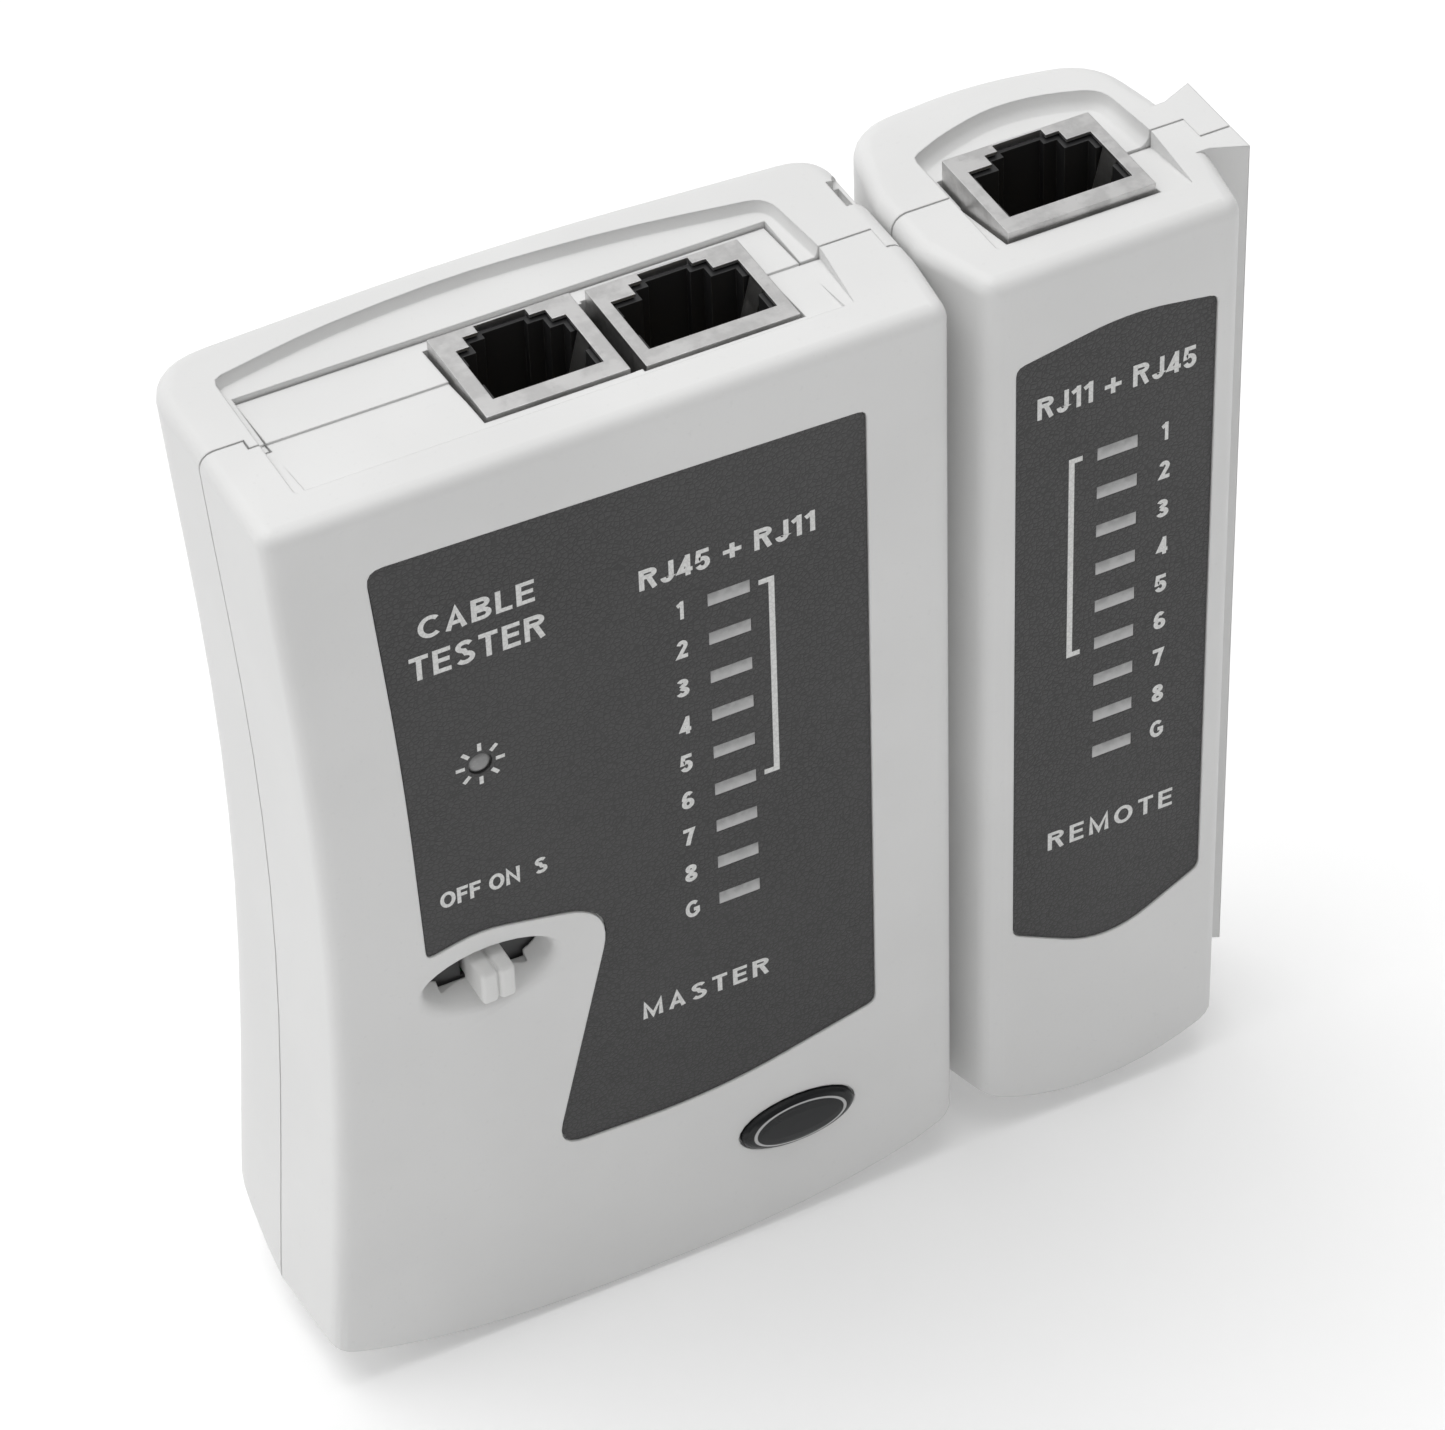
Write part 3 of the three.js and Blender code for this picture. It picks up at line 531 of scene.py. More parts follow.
@dataclass(frozen=True)
class Plated(Finish):
    """Bright metal plate or wire with rolling streaks, a few stains and a painted highlight along its
    edges.
    """

    title: str
    colour: Colour
    rough: float = 0.3
    streak: tuple[float, float, float] = (0.3, 6.0, 6.0)
    edge: float = 0.12

    def mix(self) -> bpy.types.Material:
        """Work the material out."""
        r = Recipe(self.title)
        soft, edge = r.edge_normal_and_mask(self.edge)
        lines = r.noise(1.2, 3, 0.6, r.stretched(self.streak))
        stain = r.noise(0.32, 4, 0.6)
        spot = r.noise(0.9, 4, 0.7).ramp(0.6, 0.72)
        base = r.blend(stain.ramp(0.4, 0.65) * 0.7, self.colour, shade(self.colour, 0.7))
        base = r.blend(spot * 0.35, base, shade(self.colour, 0.6))
        # painted highlight: the metal made paler along its edges
        base = r.blend(edge * 0.6, base, lighten(self.colour, 0.5))
        return r.set(
            Base_Color=base,
            Metallic=1.0,
            Roughness=self.rough + 0.16 * (lines - 0.5) + 0.14 * stain.ramp(0.5, 0.8),
            Normal=r.bumped(lines * 0.6 + r.noise(0.8, 2) * 0.4, 0.014, 0.8, soft),
        )


@dataclass(frozen=True)
class BadgeResin(Finish):
    """Black domed resin with a pale printed oval line below its gloss."""

    middle: tuple[float, float] = (0.0, 0.0)
    half: tuple[float, float] = (6.2, 3.05)
    title: str = "badge_resin"

    def mix(self) -> bpy.types.Material:
        """Work the material out."""
        r = Recipe(self.title)
        x, _, z = r.axes()
        u = x - self.middle[0]
        w = z - self.middle[1]
        oval = ((u / self.half[0]) ** 2 + (w / self.half[1]) ** 2) ** 0.5
        line = abs(oval - 0.8).ramp(0.035, 0.02)
        base = r.blend(line, (0.011, 0.012, 0.013), (0.5, 0.5, 0.5))
        dust = r.noise(3.5, 4, 0.7).ramp(0.68, 0.75)
        base = r.blend(dust * 0.12, base, (0.4, 0.4, 0.4))
        return r.set(
            Base_Color=base,
            Roughness=0.2 + 0.25 * dust + 0.05 * r.noise(0.5, 3),
            Specular_IOR_Level=0.25,
            Coat_Weight=0.12,
            Normal=r.bumped(r.noise(0.5, 2), 0.02, 0.6),
        )


@dataclass(frozen=True)
class SolderMask(Finish):
    """Green board with copper runs below its lacquer."""

    title: str = "solder_mask"
    tracks: float = 0.39

    def mix(self) -> bpy.types.Material:
        """Work the material out."""
        r = Recipe(self.title)
        x, _, z = r.axes()
        bend = r.noise(0.08, 0) * 9
        run = abs((x * self.tracks + bend).fraction() - 0.5).ramp(0.16, 0.12)
        run = run * r.noise(0.1, 1).ramp(0.42, 0.48)
        cross = abs((z * self.tracks + bend).fraction() - 0.5).ramp(0.14, 0.1)
        cross = cross * r.noise(0.13, 1).ramp(0.5, 0.55)
        copper = 1 - (1 - run) * (1 - cross)
        base = r.blend(copper, (0.02, 0.12, 0.045), (0.05, 0.22, 0.08))
        pad = r.cells(self.tracks).ramp(0.2, 0.16) * 0.9
        base = r.blend(pad, base, (0.55, 0.55, 0.52))
        return r.set(
            Base_Color=base,
            Metallic=pad * 0.8,
            Roughness=0.3 + 0.15 * r.noise(0.8, 2),
            Normal=r.bumped(copper * 0.7 + pad, 0.04, 0.8),
        )


@dataclass(frozen=True)
class CellJacket(Finish):
    """Lacquered steel jacket of the battery, dark with a pale band at its terminal end."""

    band: tuple[float, float] = (0.0, 8.0)
    title: str = "cell_jacket"

    def mix(self) -> bpy.types.Material:
        """Work the material out."""
        r = Recipe(self.title)
        x, _, _ = r.axes()
        soft, edge = r.edge_normal_and_mask(0.2)
        pale = x.ramp(self.band[0] - 0.1, self.band[0] + 0.1)
        metal = x.ramp(self.band[1] - 0.1, self.band[1] + 0.1)
        scuff = r.noise(0.6, 4, 0.7).ramp(0.6, 0.75)
        base = r.blend(pale, (0.025, 0.045, 0.11), (0.62, 0.45, 0.12))
        base = r.blend(metal, base, (0.7, 0.69, 0.66))
        # pale scuffs, and a painted highlight making the jacket paler along its edges
        base = r.blend(scuff * 0.25 + edge * 0.4, base, (0.55, 0.55, 0.53))
        return r.set(
            Base_Color=base,
            Metallic=metal * 0.9,
            Roughness=0.32 + 0.18 * scuff,
            Normal=r.bumped(r.noise(0.3, 3), 0.03, 0.6, soft),
        )


@dataclass(frozen=True)
class StudioPaper(Finish):
    """Plain pale background paper."""

    title: str = "studio_paper"

    def mix(self) -> bpy.types.Material:
        """Work the material out."""
        r = Recipe(self.title)
        fibre = r.noise(0.6, 4, 0.6)
        base = r.blend(fibre, (0.93, 0.93, 0.93), (0.955, 0.955, 0.955))
        return r.set(
            Base_Color=base,
            Roughness=0.85,
            Specular_IOR_Level=0.1,
            Emission_Color=(1.0, 1.0, 1.0),
            Emission_Strength=0.13,
        )


HOUSING = Moulded("housing_plastic", (0.765, 0.765, 0.76), 0.46)
KNOB_PLASTIC = Moulded("knob_plastic", (0.76, 0.76, 0.75), 0.36, 0.004, 1.6, 0.18, 0.3)
BLACK_PLASTIC = Moulded("black_plastic", (0.016, 0.016, 0.017), 0.48, 0.01, 3.0, 0.12, 0.12)
SLIP_PLASTIC = Moulded("slip_plastic", (0.06, 0.06, 0.061), 0.5, 0.008, 2.4, 0.12, 0.2)
SOCKET_PLASTIC = Moulded("socket_plastic", (0.022, 0.022, 0.023), 0.36, 0.006, 2.2, 0.12, 0.3)
RED_SLEEVE = Moulded("red_sleeve", (0.42, 0.02, 0.015), 0.4, 0.006, 2.0, 0.05, 0.1)
LABEL_FILM = GrainedFilm("label_film", (0.048, 0.0475, 0.048), 0.07)
TIN = Plated("tin_plate", (0.70, 0.695, 0.69), 0.36)
GOLD = Plated("contact_gold", (0.86, 0.66, 0.29), 0.24)
CAN = Plated("switch_can", (0.62, 0.62, 0.61), 0.36)
STEEL = Plated("screw_steel", (0.56, 0.56, 0.57), 0.34, (4.0, 4.0, 4.0))


# ---------------------------------------------------------------- shapes


class Shape:
    """A mesh in the making; lengths are in metres, in the row frame."""

    def __init__(self) -> None:
        """Start empty."""
        self.bm = bmesh.new()

    def slab(self, low: Vector, high: Vector) -> list[bmesh.types.BMVert]:
        """Add a rectangular block.

        Args:
            low: Its lowest corner.
            high: Its highest corner.

        Returns:
            The block's corners.
        """
        size = high - low
        place = Matrix.Translation((low + high) / 2) @ Matrix.Diagonal((*size, 1.0))
        return bmesh.ops.create_cube(self.bm, size=1.0, matrix=place)["verts"]

    def disc(self, middle: Vector, half: Sequence[float], segments: int) -> bmesh.types.BMFace:
        """Add an oval face that looks out of the front.

        Args:
            middle: Its centre.
            half: Half its width and half its height.
            segments: Sides of the outline.

        Returns:
            The face.
        """
        turn = Matrix.Rotation(math.pi / 2, 4, "X")
        place = Matrix.Translation(middle) @ turn @ Matrix.Diagonal((half[0], half[1], 1.0, 1.0))
        made = bmesh.ops.create_circle(
            self.bm,
            cap_ends=True,
            radius=1.0,
            segments=segments,
            matrix=place,
        )
        face = made["verts"][0].link_faces[0]
        face.normal_update()
        if face.normal.y > 0:
            bmesh.ops.reverse_faces(self.bm, faces=[face])
        return face

    def push(self, face: bmesh.types.BMFace, depth: float) -> bmesh.types.BMFace:
        """Extrude a face along the Y axis.

        Args:
            face: The face to pull out.
            depth: How far, along +Y.

        Returns:
            The face at the far end.
        """
        made = bmesh.ops.extrude_face_region(self.bm, geom=[face])["geom"]
        bmesh.ops.translate(
            self.bm,
            vec=Vector((0, depth, 0)),
            verts=[g for g in made if isinstance(g, bmesh.types.BMVert)],
        )
        return next(g for g in made if isinstance(g, bmesh.types.BMFace))

    def draw_in(
        self,
        face: bmesh.types.BMFace,
        share: Sequence[float],
        depth: float,
    ) -> bmesh.types.BMFace:
        """Extrude a face along the Y axis and shrink its far end.

        Args:
            face: The face to pull.
            share: What is left of its width and of its height.
            depth: How far it is pulled, along +Y.

        Returns:
            The face at the far end.
        """
        middle = face.calc_center_median()
        far = self.push(face, depth)
        place = Matrix.Translation(middle) @ Matrix.Diagonal((share[0], 1.0, share[1], 1.0))
        bmesh.ops.transform(self.bm, matrix=place @ Matrix.Translation(-middle), verts=far.verts)
        return far

    def bevel(self, edges: Iterable[bmesh.types.BMEdge], width: float, segments: int = 2) -> None:
        """Round edges.

        Args:
            edges: The edges.
            width: Bevel width.
            segments: Steps across it.
        """
        bmesh.ops.bevel(
            self.bm,
            geom=list(edges),
            offset=width,
            offset_type="OFFSET",
            segments=segments,
            profile=0.5,
            affect="EDGES",
            material=-1,
            clamp_overlap=True,
        )

    def absorb(self, mesh: bpy.types.Mesh) -> None:
        """Take in another mesh, and remove it."""
        self.bm.from_mesh(mesh)
        bpy.data.meshes.remove(mesh)

    def piece(self, name: str, crease: float = 32.0) -> bpy.types.Object:
        """Finish the mesh as an object.

        Args:
            name: The object's name.
            crease: Angle in degrees from which an edge is shaded sharp.

        Returns:
            The object, in the scene.
        """
        self.bm.normal_update()
        limit = math.radians(crease)
        for edge in self.bm.edges:
            edge.smooth = edge.calc_face_angle(math.pi) < limit
        for face in self.bm.faces:
            face.smooth = True
        mesh = bpy.data.meshes.new(name)
        self.bm.to_mesh(mesh)
        self.bm.free()
        if "custom_normal" in mesh.attributes:
            mesh.attributes.remove(mesh.attributes["custom_normal"])
        made = bpy.data.objects.new(name, mesh)
        bpy.context.scene.collection.objects.link(made)
        return made


@dataclass
class Bench:
    """Where pieces are made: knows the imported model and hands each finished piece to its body."""

    frame: dict[str, Any]
    made: list[str] = field(default_factory=list)

    def hand_over(
        self,
        piece: bpy.types.Object,
        body: Body,
        slot: Slot,
        finish: Finish,
        stands_for: Sequence[str] = (),
    ) -> bpy.types.Object:
        """Dress a piece and put it on its body.

        Args:
            piece: The finished object.
            body: The body that it moves with.
            slot: Not used.
            finish: Its finish.
            stands_for: The CAD nodes that it is shown in place of.

        Returns:
            The same piece.
        """
        piece.data.materials.clear()
        piece.data.materials.append(finish.material())
        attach(piece, body.value)
        if stands_for:
            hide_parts(*stands_for)
        self.made.append(piece.name)
        log.info("%s on %s, %d faces", piece.name, body.value, len(piece.data.polygons))
        return piece

    def dress_node(self, node: str, finish: Finish) -> None:
        """Give a carried-over CAD node its finish."""
        mesh = self.frame["nodes"][node].data
        mesh.materials.clear()
        mesh.materials.append(finish.material())
        log.info("%s dressed in %s", node, finish.title)

    def refine(self, node: str, name: str, crease: float = 32.0, edge: float = 0.0) -> bpy.types.Object:
        """Copy a CAD node as one connected, smoothly shaded mesh.

        Args:
            node: The CAD node.
            name: The new piece's name.
            crease: Angle in degrees from which an edge is shaded sharp.
            edge: Width of the rounding of its sharp edges in millimetres, or 0 for none.

        Returns:
            The new piece, not yet on a body.
        """
        shape = Shape()
        shape.bm.from_mesh(self.frame["nodes"][node].data)
        bmesh.ops.remove_doubles(shape.bm, verts=shape.bm.verts, dist=2e-6)
        if edge:
            bmesh.ops.dissolve_limit(
                shape.bm,
                angle_limit=math.radians(0.5),
                verts=shape.bm.verts,
                edges=shape.bm.edges,
                use_dissolve_boundaries=False,
            )
        piece = shape.piece(name, crease)
        if edge:
            rounding = piece.modifiers.new("rounding", "BEVEL")
            rounding.width = edge * MM
            rounding.segments = 2
            rounding.limit_method = "ANGLE"
            rounding.angle_limit = math.radians(crease)
            rounding.miter_outer = "MITER_ARC"
        even = piece.modifiers.new("even_shading", "WEIGHTED_NORMAL")
        even.keep_sharp = True
        even.weight = 60
        return piece

    def refit(
        self,
        node: str,
        name: str,
        body: Body,
        slot: Slot,
        finish: Finish,
        crease: float = 35.0,
        edge: float = 0.0,
    ) -> None:
        """Show a CAD node as a smooth, dressed copy.

        Args:
            node: The CAD node.
            name: The copy's name.
            body: The body that it moves with.
            slot: The material slot that its finish belongs to.
            finish: Its finish.
            crease: Angle in degrees from which an edge is shaded sharp.
            edge: Width of the rounding of its sharp edges in millimetres, or 0 for none.
        """
        self.hand_over(self.refine(node, name, crease, edge), body, slot, finish, [node])


# ---------------------------------------------------------------- sub-assemblies


@dataclass
class Housing:
    """The four moulded shell halves and the battery door."""

    bench: Bench
    crease: float = 32.0

    def build(self) -> None:
        """Make every shell as one smooth piece."""
        parts = (
            ("master_front_shell", Body.MASTER),
            ("master_rear_shell", Body.MASTER),
            ("remote_front_shell", Body.REMOTE),
            ("remote_rear_shell", Body.REMOTE),
            ("battery_door", Body.DOOR),
        )
        for node, body in parts:
            self.bench.refit(node, "moulded_" + node, body, Slot.HOUSING, HOUSING, self.crease)


Point = tuple[float, float]


@dataclass
class Stencil:
    """Plain sans-serif capitals and numbers drawn as strokes of one width, one unit tall."""

    stroke: float = 0.16
    lift: float = 5e-6

    @staticmethod
    def arc(middle: Point, half: Point, start: float, end: float, steps: int = 10) -> list[Point]:
        """Points along part of an oval.

        Args:
            middle: Its centre.
            half: Half its width and height.
            start: First angle in degrees.
            end: Last angle.
            steps: Parts that it is cut into.

        Returns:
            The points.
        """
        angles = [math.radians(start + (end - start) * i / steps) for i in range(steps + 1)]
        return [(middle[0] + half[0] * math.cos(a), middle[1] + half[1] * math.sin(a)) for a in angles]

    def glyph(self, sign: str) -> tuple[float, list[list[Point]]]:
        """Strokes of one sign.

        Args:
            sign: The sign.

        Returns:
            Its width and its strokes.
        """
        h = self.stroke / 2
        t = 1 - h

        def bow(x: float, y: float, wide: float, tall: float, *sweep: int) -> list[Point]:
            """Arc whose outer side touches an oval of the given half width and height."""
            return self.arc((x, y), (wide - h, tall - h), *sweep)

        bowl = self.arc((0.4, 0.76), (0.24 - h / 2, 0.24 - h), 90, -90)
        ring = bow(0.42, 0.5, 0.42, 0.5, 48, 312, 20)
        table: dict[str, tuple[float, list[list[Point]]]] = {
            "A": (0.72, [[(h, 0), (0.36, t), (0.72 - h, 0)], [(0.16, 0.3), (0.56, 0.3)]]),
            "B": (
                0.66,
                [
                    [(h, 0), (h, 1)],
                    [(h, t), *bow(0.36, 0.755, 0.26, 0.245, 90, -90), (h, 1.51 - t)],
                    [(h, h), *bow(0.38, 0.265, 0.28, 0.265, -90, 90), (h, 0.53 - h)],
                ],
            ),
            "C": (0.74, [ring]),
            "E": (0.6, [[(0.6, t), (h, t), (h, h), (0.6, h)], [(h, 0.52), (0.56, 0.52)]]),
            "F": (0.58, [[(0.58, t), (h, t), (h, 0)], [(h, 0.52), (0.52, 0.52)]]),
            "G": (0.8, [[*ring, (0.8 - h, h + 0.16), (0.8 - h, 0.46), (0.46, 0.46)]]),
            "J": (0.52, [[(0.52 - h, 1), (0.52 - h, 0.28), *bow(0.26, 0.28, 0.26, 0.28, 0, -180)]]),
            "L": (0.54, [[(h, 1), (h, h), (0.54, h)]]),
            "M": (0.84, [[(h, 0), (h, t), (0.42, 0.12), (0.84 - h, t), (0.84 - h, 0)]]),
            "N": (0.74, [[(h, 0), (h, t), (0.74 - h, h), (0.74 - h, 1)]]),
            "O": (0.8, [bow(0.4, 0.5, 0.4, 0.5, 90, 450, 24)]),
            "R": (
                0.7,
                [[(h, 0), (h, 1)], [(h, t), *bowl, (h, 0.52 + h)], [(0.36, 0.5 + h), (0.7 - h, 0)]],
            ),
            "S": (
                0.66,
                [
                    bow(0.33, 0.745, 0.31, 0.255, 25, 262, 12)
                    + bow(0.33, 0.27, 0.33, 0.27, 82, -155, 12)
                ],
            ),
            "T": (0.64, [[(0, t), (0.64, t)], [(0.32, t), (0.32, 0)]]),
            "1": (0.4, [[(0.03, 0.74), (0.4 - h, 0.9)], [(0.4 - h, 1), (0.4 - h, 0)]]),
            "2": (0.56, [[*bow(0.28, 0.71, 0.28, 0.29, 170, -30, 12), (h, h), (0.56, h)]]),
            "3": (
                0.56,
                [
                    [*bow(0.27, 0.755, 0.25, 0.245, 160, -80, 12), (0.2, 0.52)],
                    [(0.2, 0.52), *bow(0.28, 0.27, 0.28, 0.27, 80, -165, 12)],
                ],
            ),
            "4": (0.6, [[(0.6, 0.26), (h, 0.26), (0.42, t)], [(0.42, 1), (0.42, 0)]]),
            "5": (
                0.56,
                [
                    [
                        *((0.52, t), (0.13, t), (0.09, 0.5)),
                        *bow(0.27, 0.33, 0.29, 0.33, 130, -160, 14),
                    ]
                ],
            ),
            "6": (
                0.58,
                [
                    bow(0.31, 0.5, 0.31, 0.5, 50, 180, 8),
                    bow(0.29, 0.31, 0.29, 0.31, 180, 540, 20),
                ],
            ),
            "7": (0.54, [[(0, t), (0.54 - h, t), (0.3, 0.45), (0.2, 0)]]),
            "8": (
                0.58,
                [
                    bow(0.29, 0.75, 0.26, 0.25, 90, 450, 20),
                    bow(0.29, 0.27, 0.29, 0.27, 90, 450, 20),
                ],
            ),
            "+": (0.72, [[(0, 0.44), (0.72, 0.44)], [(0.36, 0.08), (0.36, 0.8)]]),
            " ": (0.26, []),
        }
        return table[sign]

    def ribbon(self, shape: Shape, points: Sequence[Point], left: float, level: float) -> None:
        """Draw one stroke as a flat band whose corners are mitred.

        Args:
            shape: The word so far.
            points: The stroke's middle line.
            left: Where its sign starts.
            level: Height of the band above the sheet.
        """
        path = [Vector((left + x, y, level)) for x, y in points]
        closed = (path[0] - path[-1]).length < 1e-4
        edge: bmesh.types.BMEdge | None = None
        for place, here in enumerate(path):
            ahead = path[place + 1] - here if place + 1 < len(path) else None
            behind = here - path[place - 1] if place else None
            if closed:
                ahead = ahead or path[1] - path[0]
                behind = behind or path[-1] - path[-2]
            come = (behind or ahead).normalized()
            go = (ahead or behind).normalized()
            along = (come + go).normalized() if (come + go).length > 1e-6 else come
            reach = self.stroke / 2 / max(along.dot(come), 0.45)
            side = Vector((-along.y, along.x, 0.0)) * reach
            if edge is None:
                ends = [shape.bm.verts.new(here + side), shape.bm.verts.new(here - side)]
                edge = shape.bm.edges.new(ends)
                continue
            made = bmesh.ops.extrude_edge_only(shape.bm, edges=[edge])["geom"]
            old = list(edge.verts)
            pulled = [g for g in made if isinstance(g, bmesh.types.BMEdge)]
            edge = next(g for g in pulled if not set(g.verts) & set(old))
            for start, offset in zip(old, (side, -side), strict=True):
                others = [e.other_vert(start) for e in start.link_edges]
                new = next(v for v in others if v in edge.verts)
                new.co = here + offset

    def write(self, text: str, gap: float) -> Shape:
        """Draw a whole word.

        Args:
            text: The word.
            gap: Space between signs.

        Returns:
            The word, lying flat, one unit tall.
        """
        shape = Shape()
        left = 0.0
        for sign in text:
            width, strokes = self.glyph(sign)
            for layer, points in enumerate(strokes):
                self.ribbon(shape, points, left, layer * self.lift)
            left += width + gap
        bmesh.ops.remove_doubles(shape.bm, verts=shape.bm.verts, dist=1e-7)
        return shape


@dataclass
class Word:
    """One printed word, placed in millimetres from the middle of the unit's first lamp."""

    text: str
    left: float
    right: float
    low: float
    high: float
    gap: float = 0.12
    stroke: float = 0.5


@dataclass
class Printing:
    """Everything printed on a unit's label: words, lamp numbers, the bracket beside them."""

    bench: Bench
    unit: str
    body: Body
    words: list[Word]
    number_x: float
    bracket_x: float
    tick_x: float
    bracket_top: float
    bracket_low: float
    rays: tuple[float, float] | None = None
    pitch: float = 4.656
    number_height: float = 2.15
    number_width: float = 1.3
    stroke: float = 0.6
    number_stroke: float = 0.46
    one_reach: tuple[float, float] = (0.35, 0.4)
    ground_spread: float = 1.15
    ray_reach: tuple[float, float] = (1.55, 2.45)
    ray_half: float = 0.2
    ink: float = 0.03

    def origin(self) -> Vector:
        """Middle of the first lamp, on the label's face."""
        low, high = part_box(self.unit + "_led_1")
        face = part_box(self.unit + "_label")[0].y
        return Vector(((low.x + high.x) / 2, face, (low.z + high.z) / 2))

    def lettering(self, shape: Shape, word: Word) -> None:
        """Print one word, fitted to its place.

        Args:
            shape: The print so far.
            word: The word and its place.
        """
        start = self.origin()
        stroke = word.stroke / (word.high - word.low)
        written = Stencil(stroke).write(word.text, word.gap)
        verts = written.bm.verts
        xs = [v.co.x for v in verts]
        ys = [v.co.y for v in verts]
        wide = (word.right - word.left) * MM / (max(xs) - min(xs))
        tall = (word.high - word.low) * MM / (max(ys) - min(ys))
        fit = Matrix.Diagonal((wide, tall, 1.0, 1.0)) @ Matrix.Translation((-min(xs), -min(ys), 0.0))
        corner = start + Vector((word.left, -0.6 * self.ink, word.low)) * MM
        self.stand_up(shape, written, Matrix.Translation(corner), fit)

    def stand_up(self, shape: Shape, drawn: Shape, place: Matrix, fit: Matrix) -> None:
        """Stand a flat drawing on the label's face and add it to the print.

        Args:
            shape: The print so far.
            drawn: The drawing, lying flat; it is used up.
            place: Where its corner goes.
            fit: Scaling of the drawing.
        """
        stand = Matrix(((1, 0, 0, 0), (0, 0, -1, 0), (0, 1, 0, 0), (0, 0, 0, 1)))
        bmesh.ops.transform(drawn.bm, matrix=place @ stand @ fit, verts=drawn.bm.verts)
        for flat in drawn.bm.faces:
            flat.normal_update()
            if flat.normal.y > 0:
                flat.normal_flip()
        sheet = bpy.data.meshes.new("drawing")
        drawn.bm.to_mesh(sheet)
        drawn.bm.free()
        shape.absorb(sheet)

    def numbers(self, shape: Shape) -> None:
        """Print the number of each lamp, and G for the ground wire."""
        for place, text in enumerate("12345678G"):
            middle = -place * self.pitch
            half = self.number_width / 2 * (self.ground_spread if text == "G" else 1.0)
            before, after = self.one_reach if text == "1" else (half, half)
            left = self.number_x - before
            right = self.number_x + after
            tall = self.number_height / 2
            low, high = middle - tall, middle + tall
            self.lettering(shape, Word(text, left, right, low, high, 0.1, self.number_stroke))

    def bracket(self, shape: Shape) -> None:
        """Print the bracket that joins the lamps of the six-way socket."""
        low, high = self.bracket_low, self.bracket_top
        path = [(self.tick_x, low), (self.bracket_x, low), (self.bracket_x, high), (self.tick_x, high)]
        drawn = Shape()
        Stencil(self.stroke).ribbon(drawn, path, 0.0, 0.0)
        corner = self.origin() + Vector((0, -0.6 * self.ink, 0)) * MM
        self.stand_up(shape, drawn, Matrix.Translation(corner), Matrix.Diagonal((MM, MM, MM, 1.0)))

    def sunburst(self, shape: Shape) -> None:
        """Print eight rays round the power lamp."""
        start = self.origin()
        middle = start + Vector((self.rays[0], 0, self.rays[1])) * MM
        inner, outer = self.ray_reach
        low = Vector((inner, -0.7 * self.ink, -self.ray_half)) * MM
        high = Vector((outer, 0.3 * self.ink, self.ray_half)) * MM
        for step in range(8):
            turn = Matrix.Rotation(step * math.pi / 4, 4, "Y")
            corners = shape.slab(low, high)
            bmesh.ops.transform(shape.bm, matrix=Matrix.Translation(middle) @ turn, verts=corners)

    def build(self) -> None:
        """Make the print as one piece."""
        shape = Shape()
        for word in self.words:
            self.lettering(shape, word)
        self.numbers(shape)
        self.bracket(shape)
        if self.rays:
            self.sunburst(shape)
        piece = shape.piece(self.unit + "_print", 20.0)
        self.bench.hand_over(piece, self.body, Slot.LABEL, PrintInk())


@dataclass
class Label:
    """The grained film in a unit's label recess."""

    bench: Bench
    unit: str
    body: Body

    def build(self) -> None:
        """Make the film."""
        node = self.unit + "_label"
        self.bench.refit(node, self.unit + "_film", self.body, Slot.LABEL, LABEL_FILM, 30.0)


@dataclass
class Lamps:
    """A unit's column of nine bar lamps, whose windows lie flush in the film."""

    bench: Bench
    unit: str
    body: Body
    count: int = 9
    rounding: float = 0.06
    sink: float = 0.01
    reach: float = 0.11
    tone: Colour = (0.47, 0.47, 0.47)

    def build(self) -> None:
        """Make the nine lenses as one moulded comb."""
        shape = Shape()
        nodes = [f"{self.unit}_led_{i + 1}" for i in range(self.count)]
        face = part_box(self.unit + "_label")[0].y + self.sink * MM
        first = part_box(nodes[0])
        pitch = (first[0].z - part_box(nodes[1])[0].z) / MM
        for node in nodes:
            low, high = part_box(node)
            spread = Vector((self.reach, 0, self.reach)) * MM
            corners = shape.slab(Vector((low.x, face, low.z)) - spread, high + spread)
            front = {v for v in corners if v.co.y < face + 1e-7}
            rim = {e for v in front for e in v.link_edges if e.other_vert(v) in front}
            shape.bevel(rim, self.rounding * MM, 2)
        piece = shape.piece(self.unit + "_lenses", 40.0)
        window = (first[0].z / MM, first[1].z / MM)
        finish = LampResin(self.unit + "_lamp_resin", window, pitch, self.tone)
        self.bench.hand_over(piece, self.body, Slot.LENS, finish, nodes)


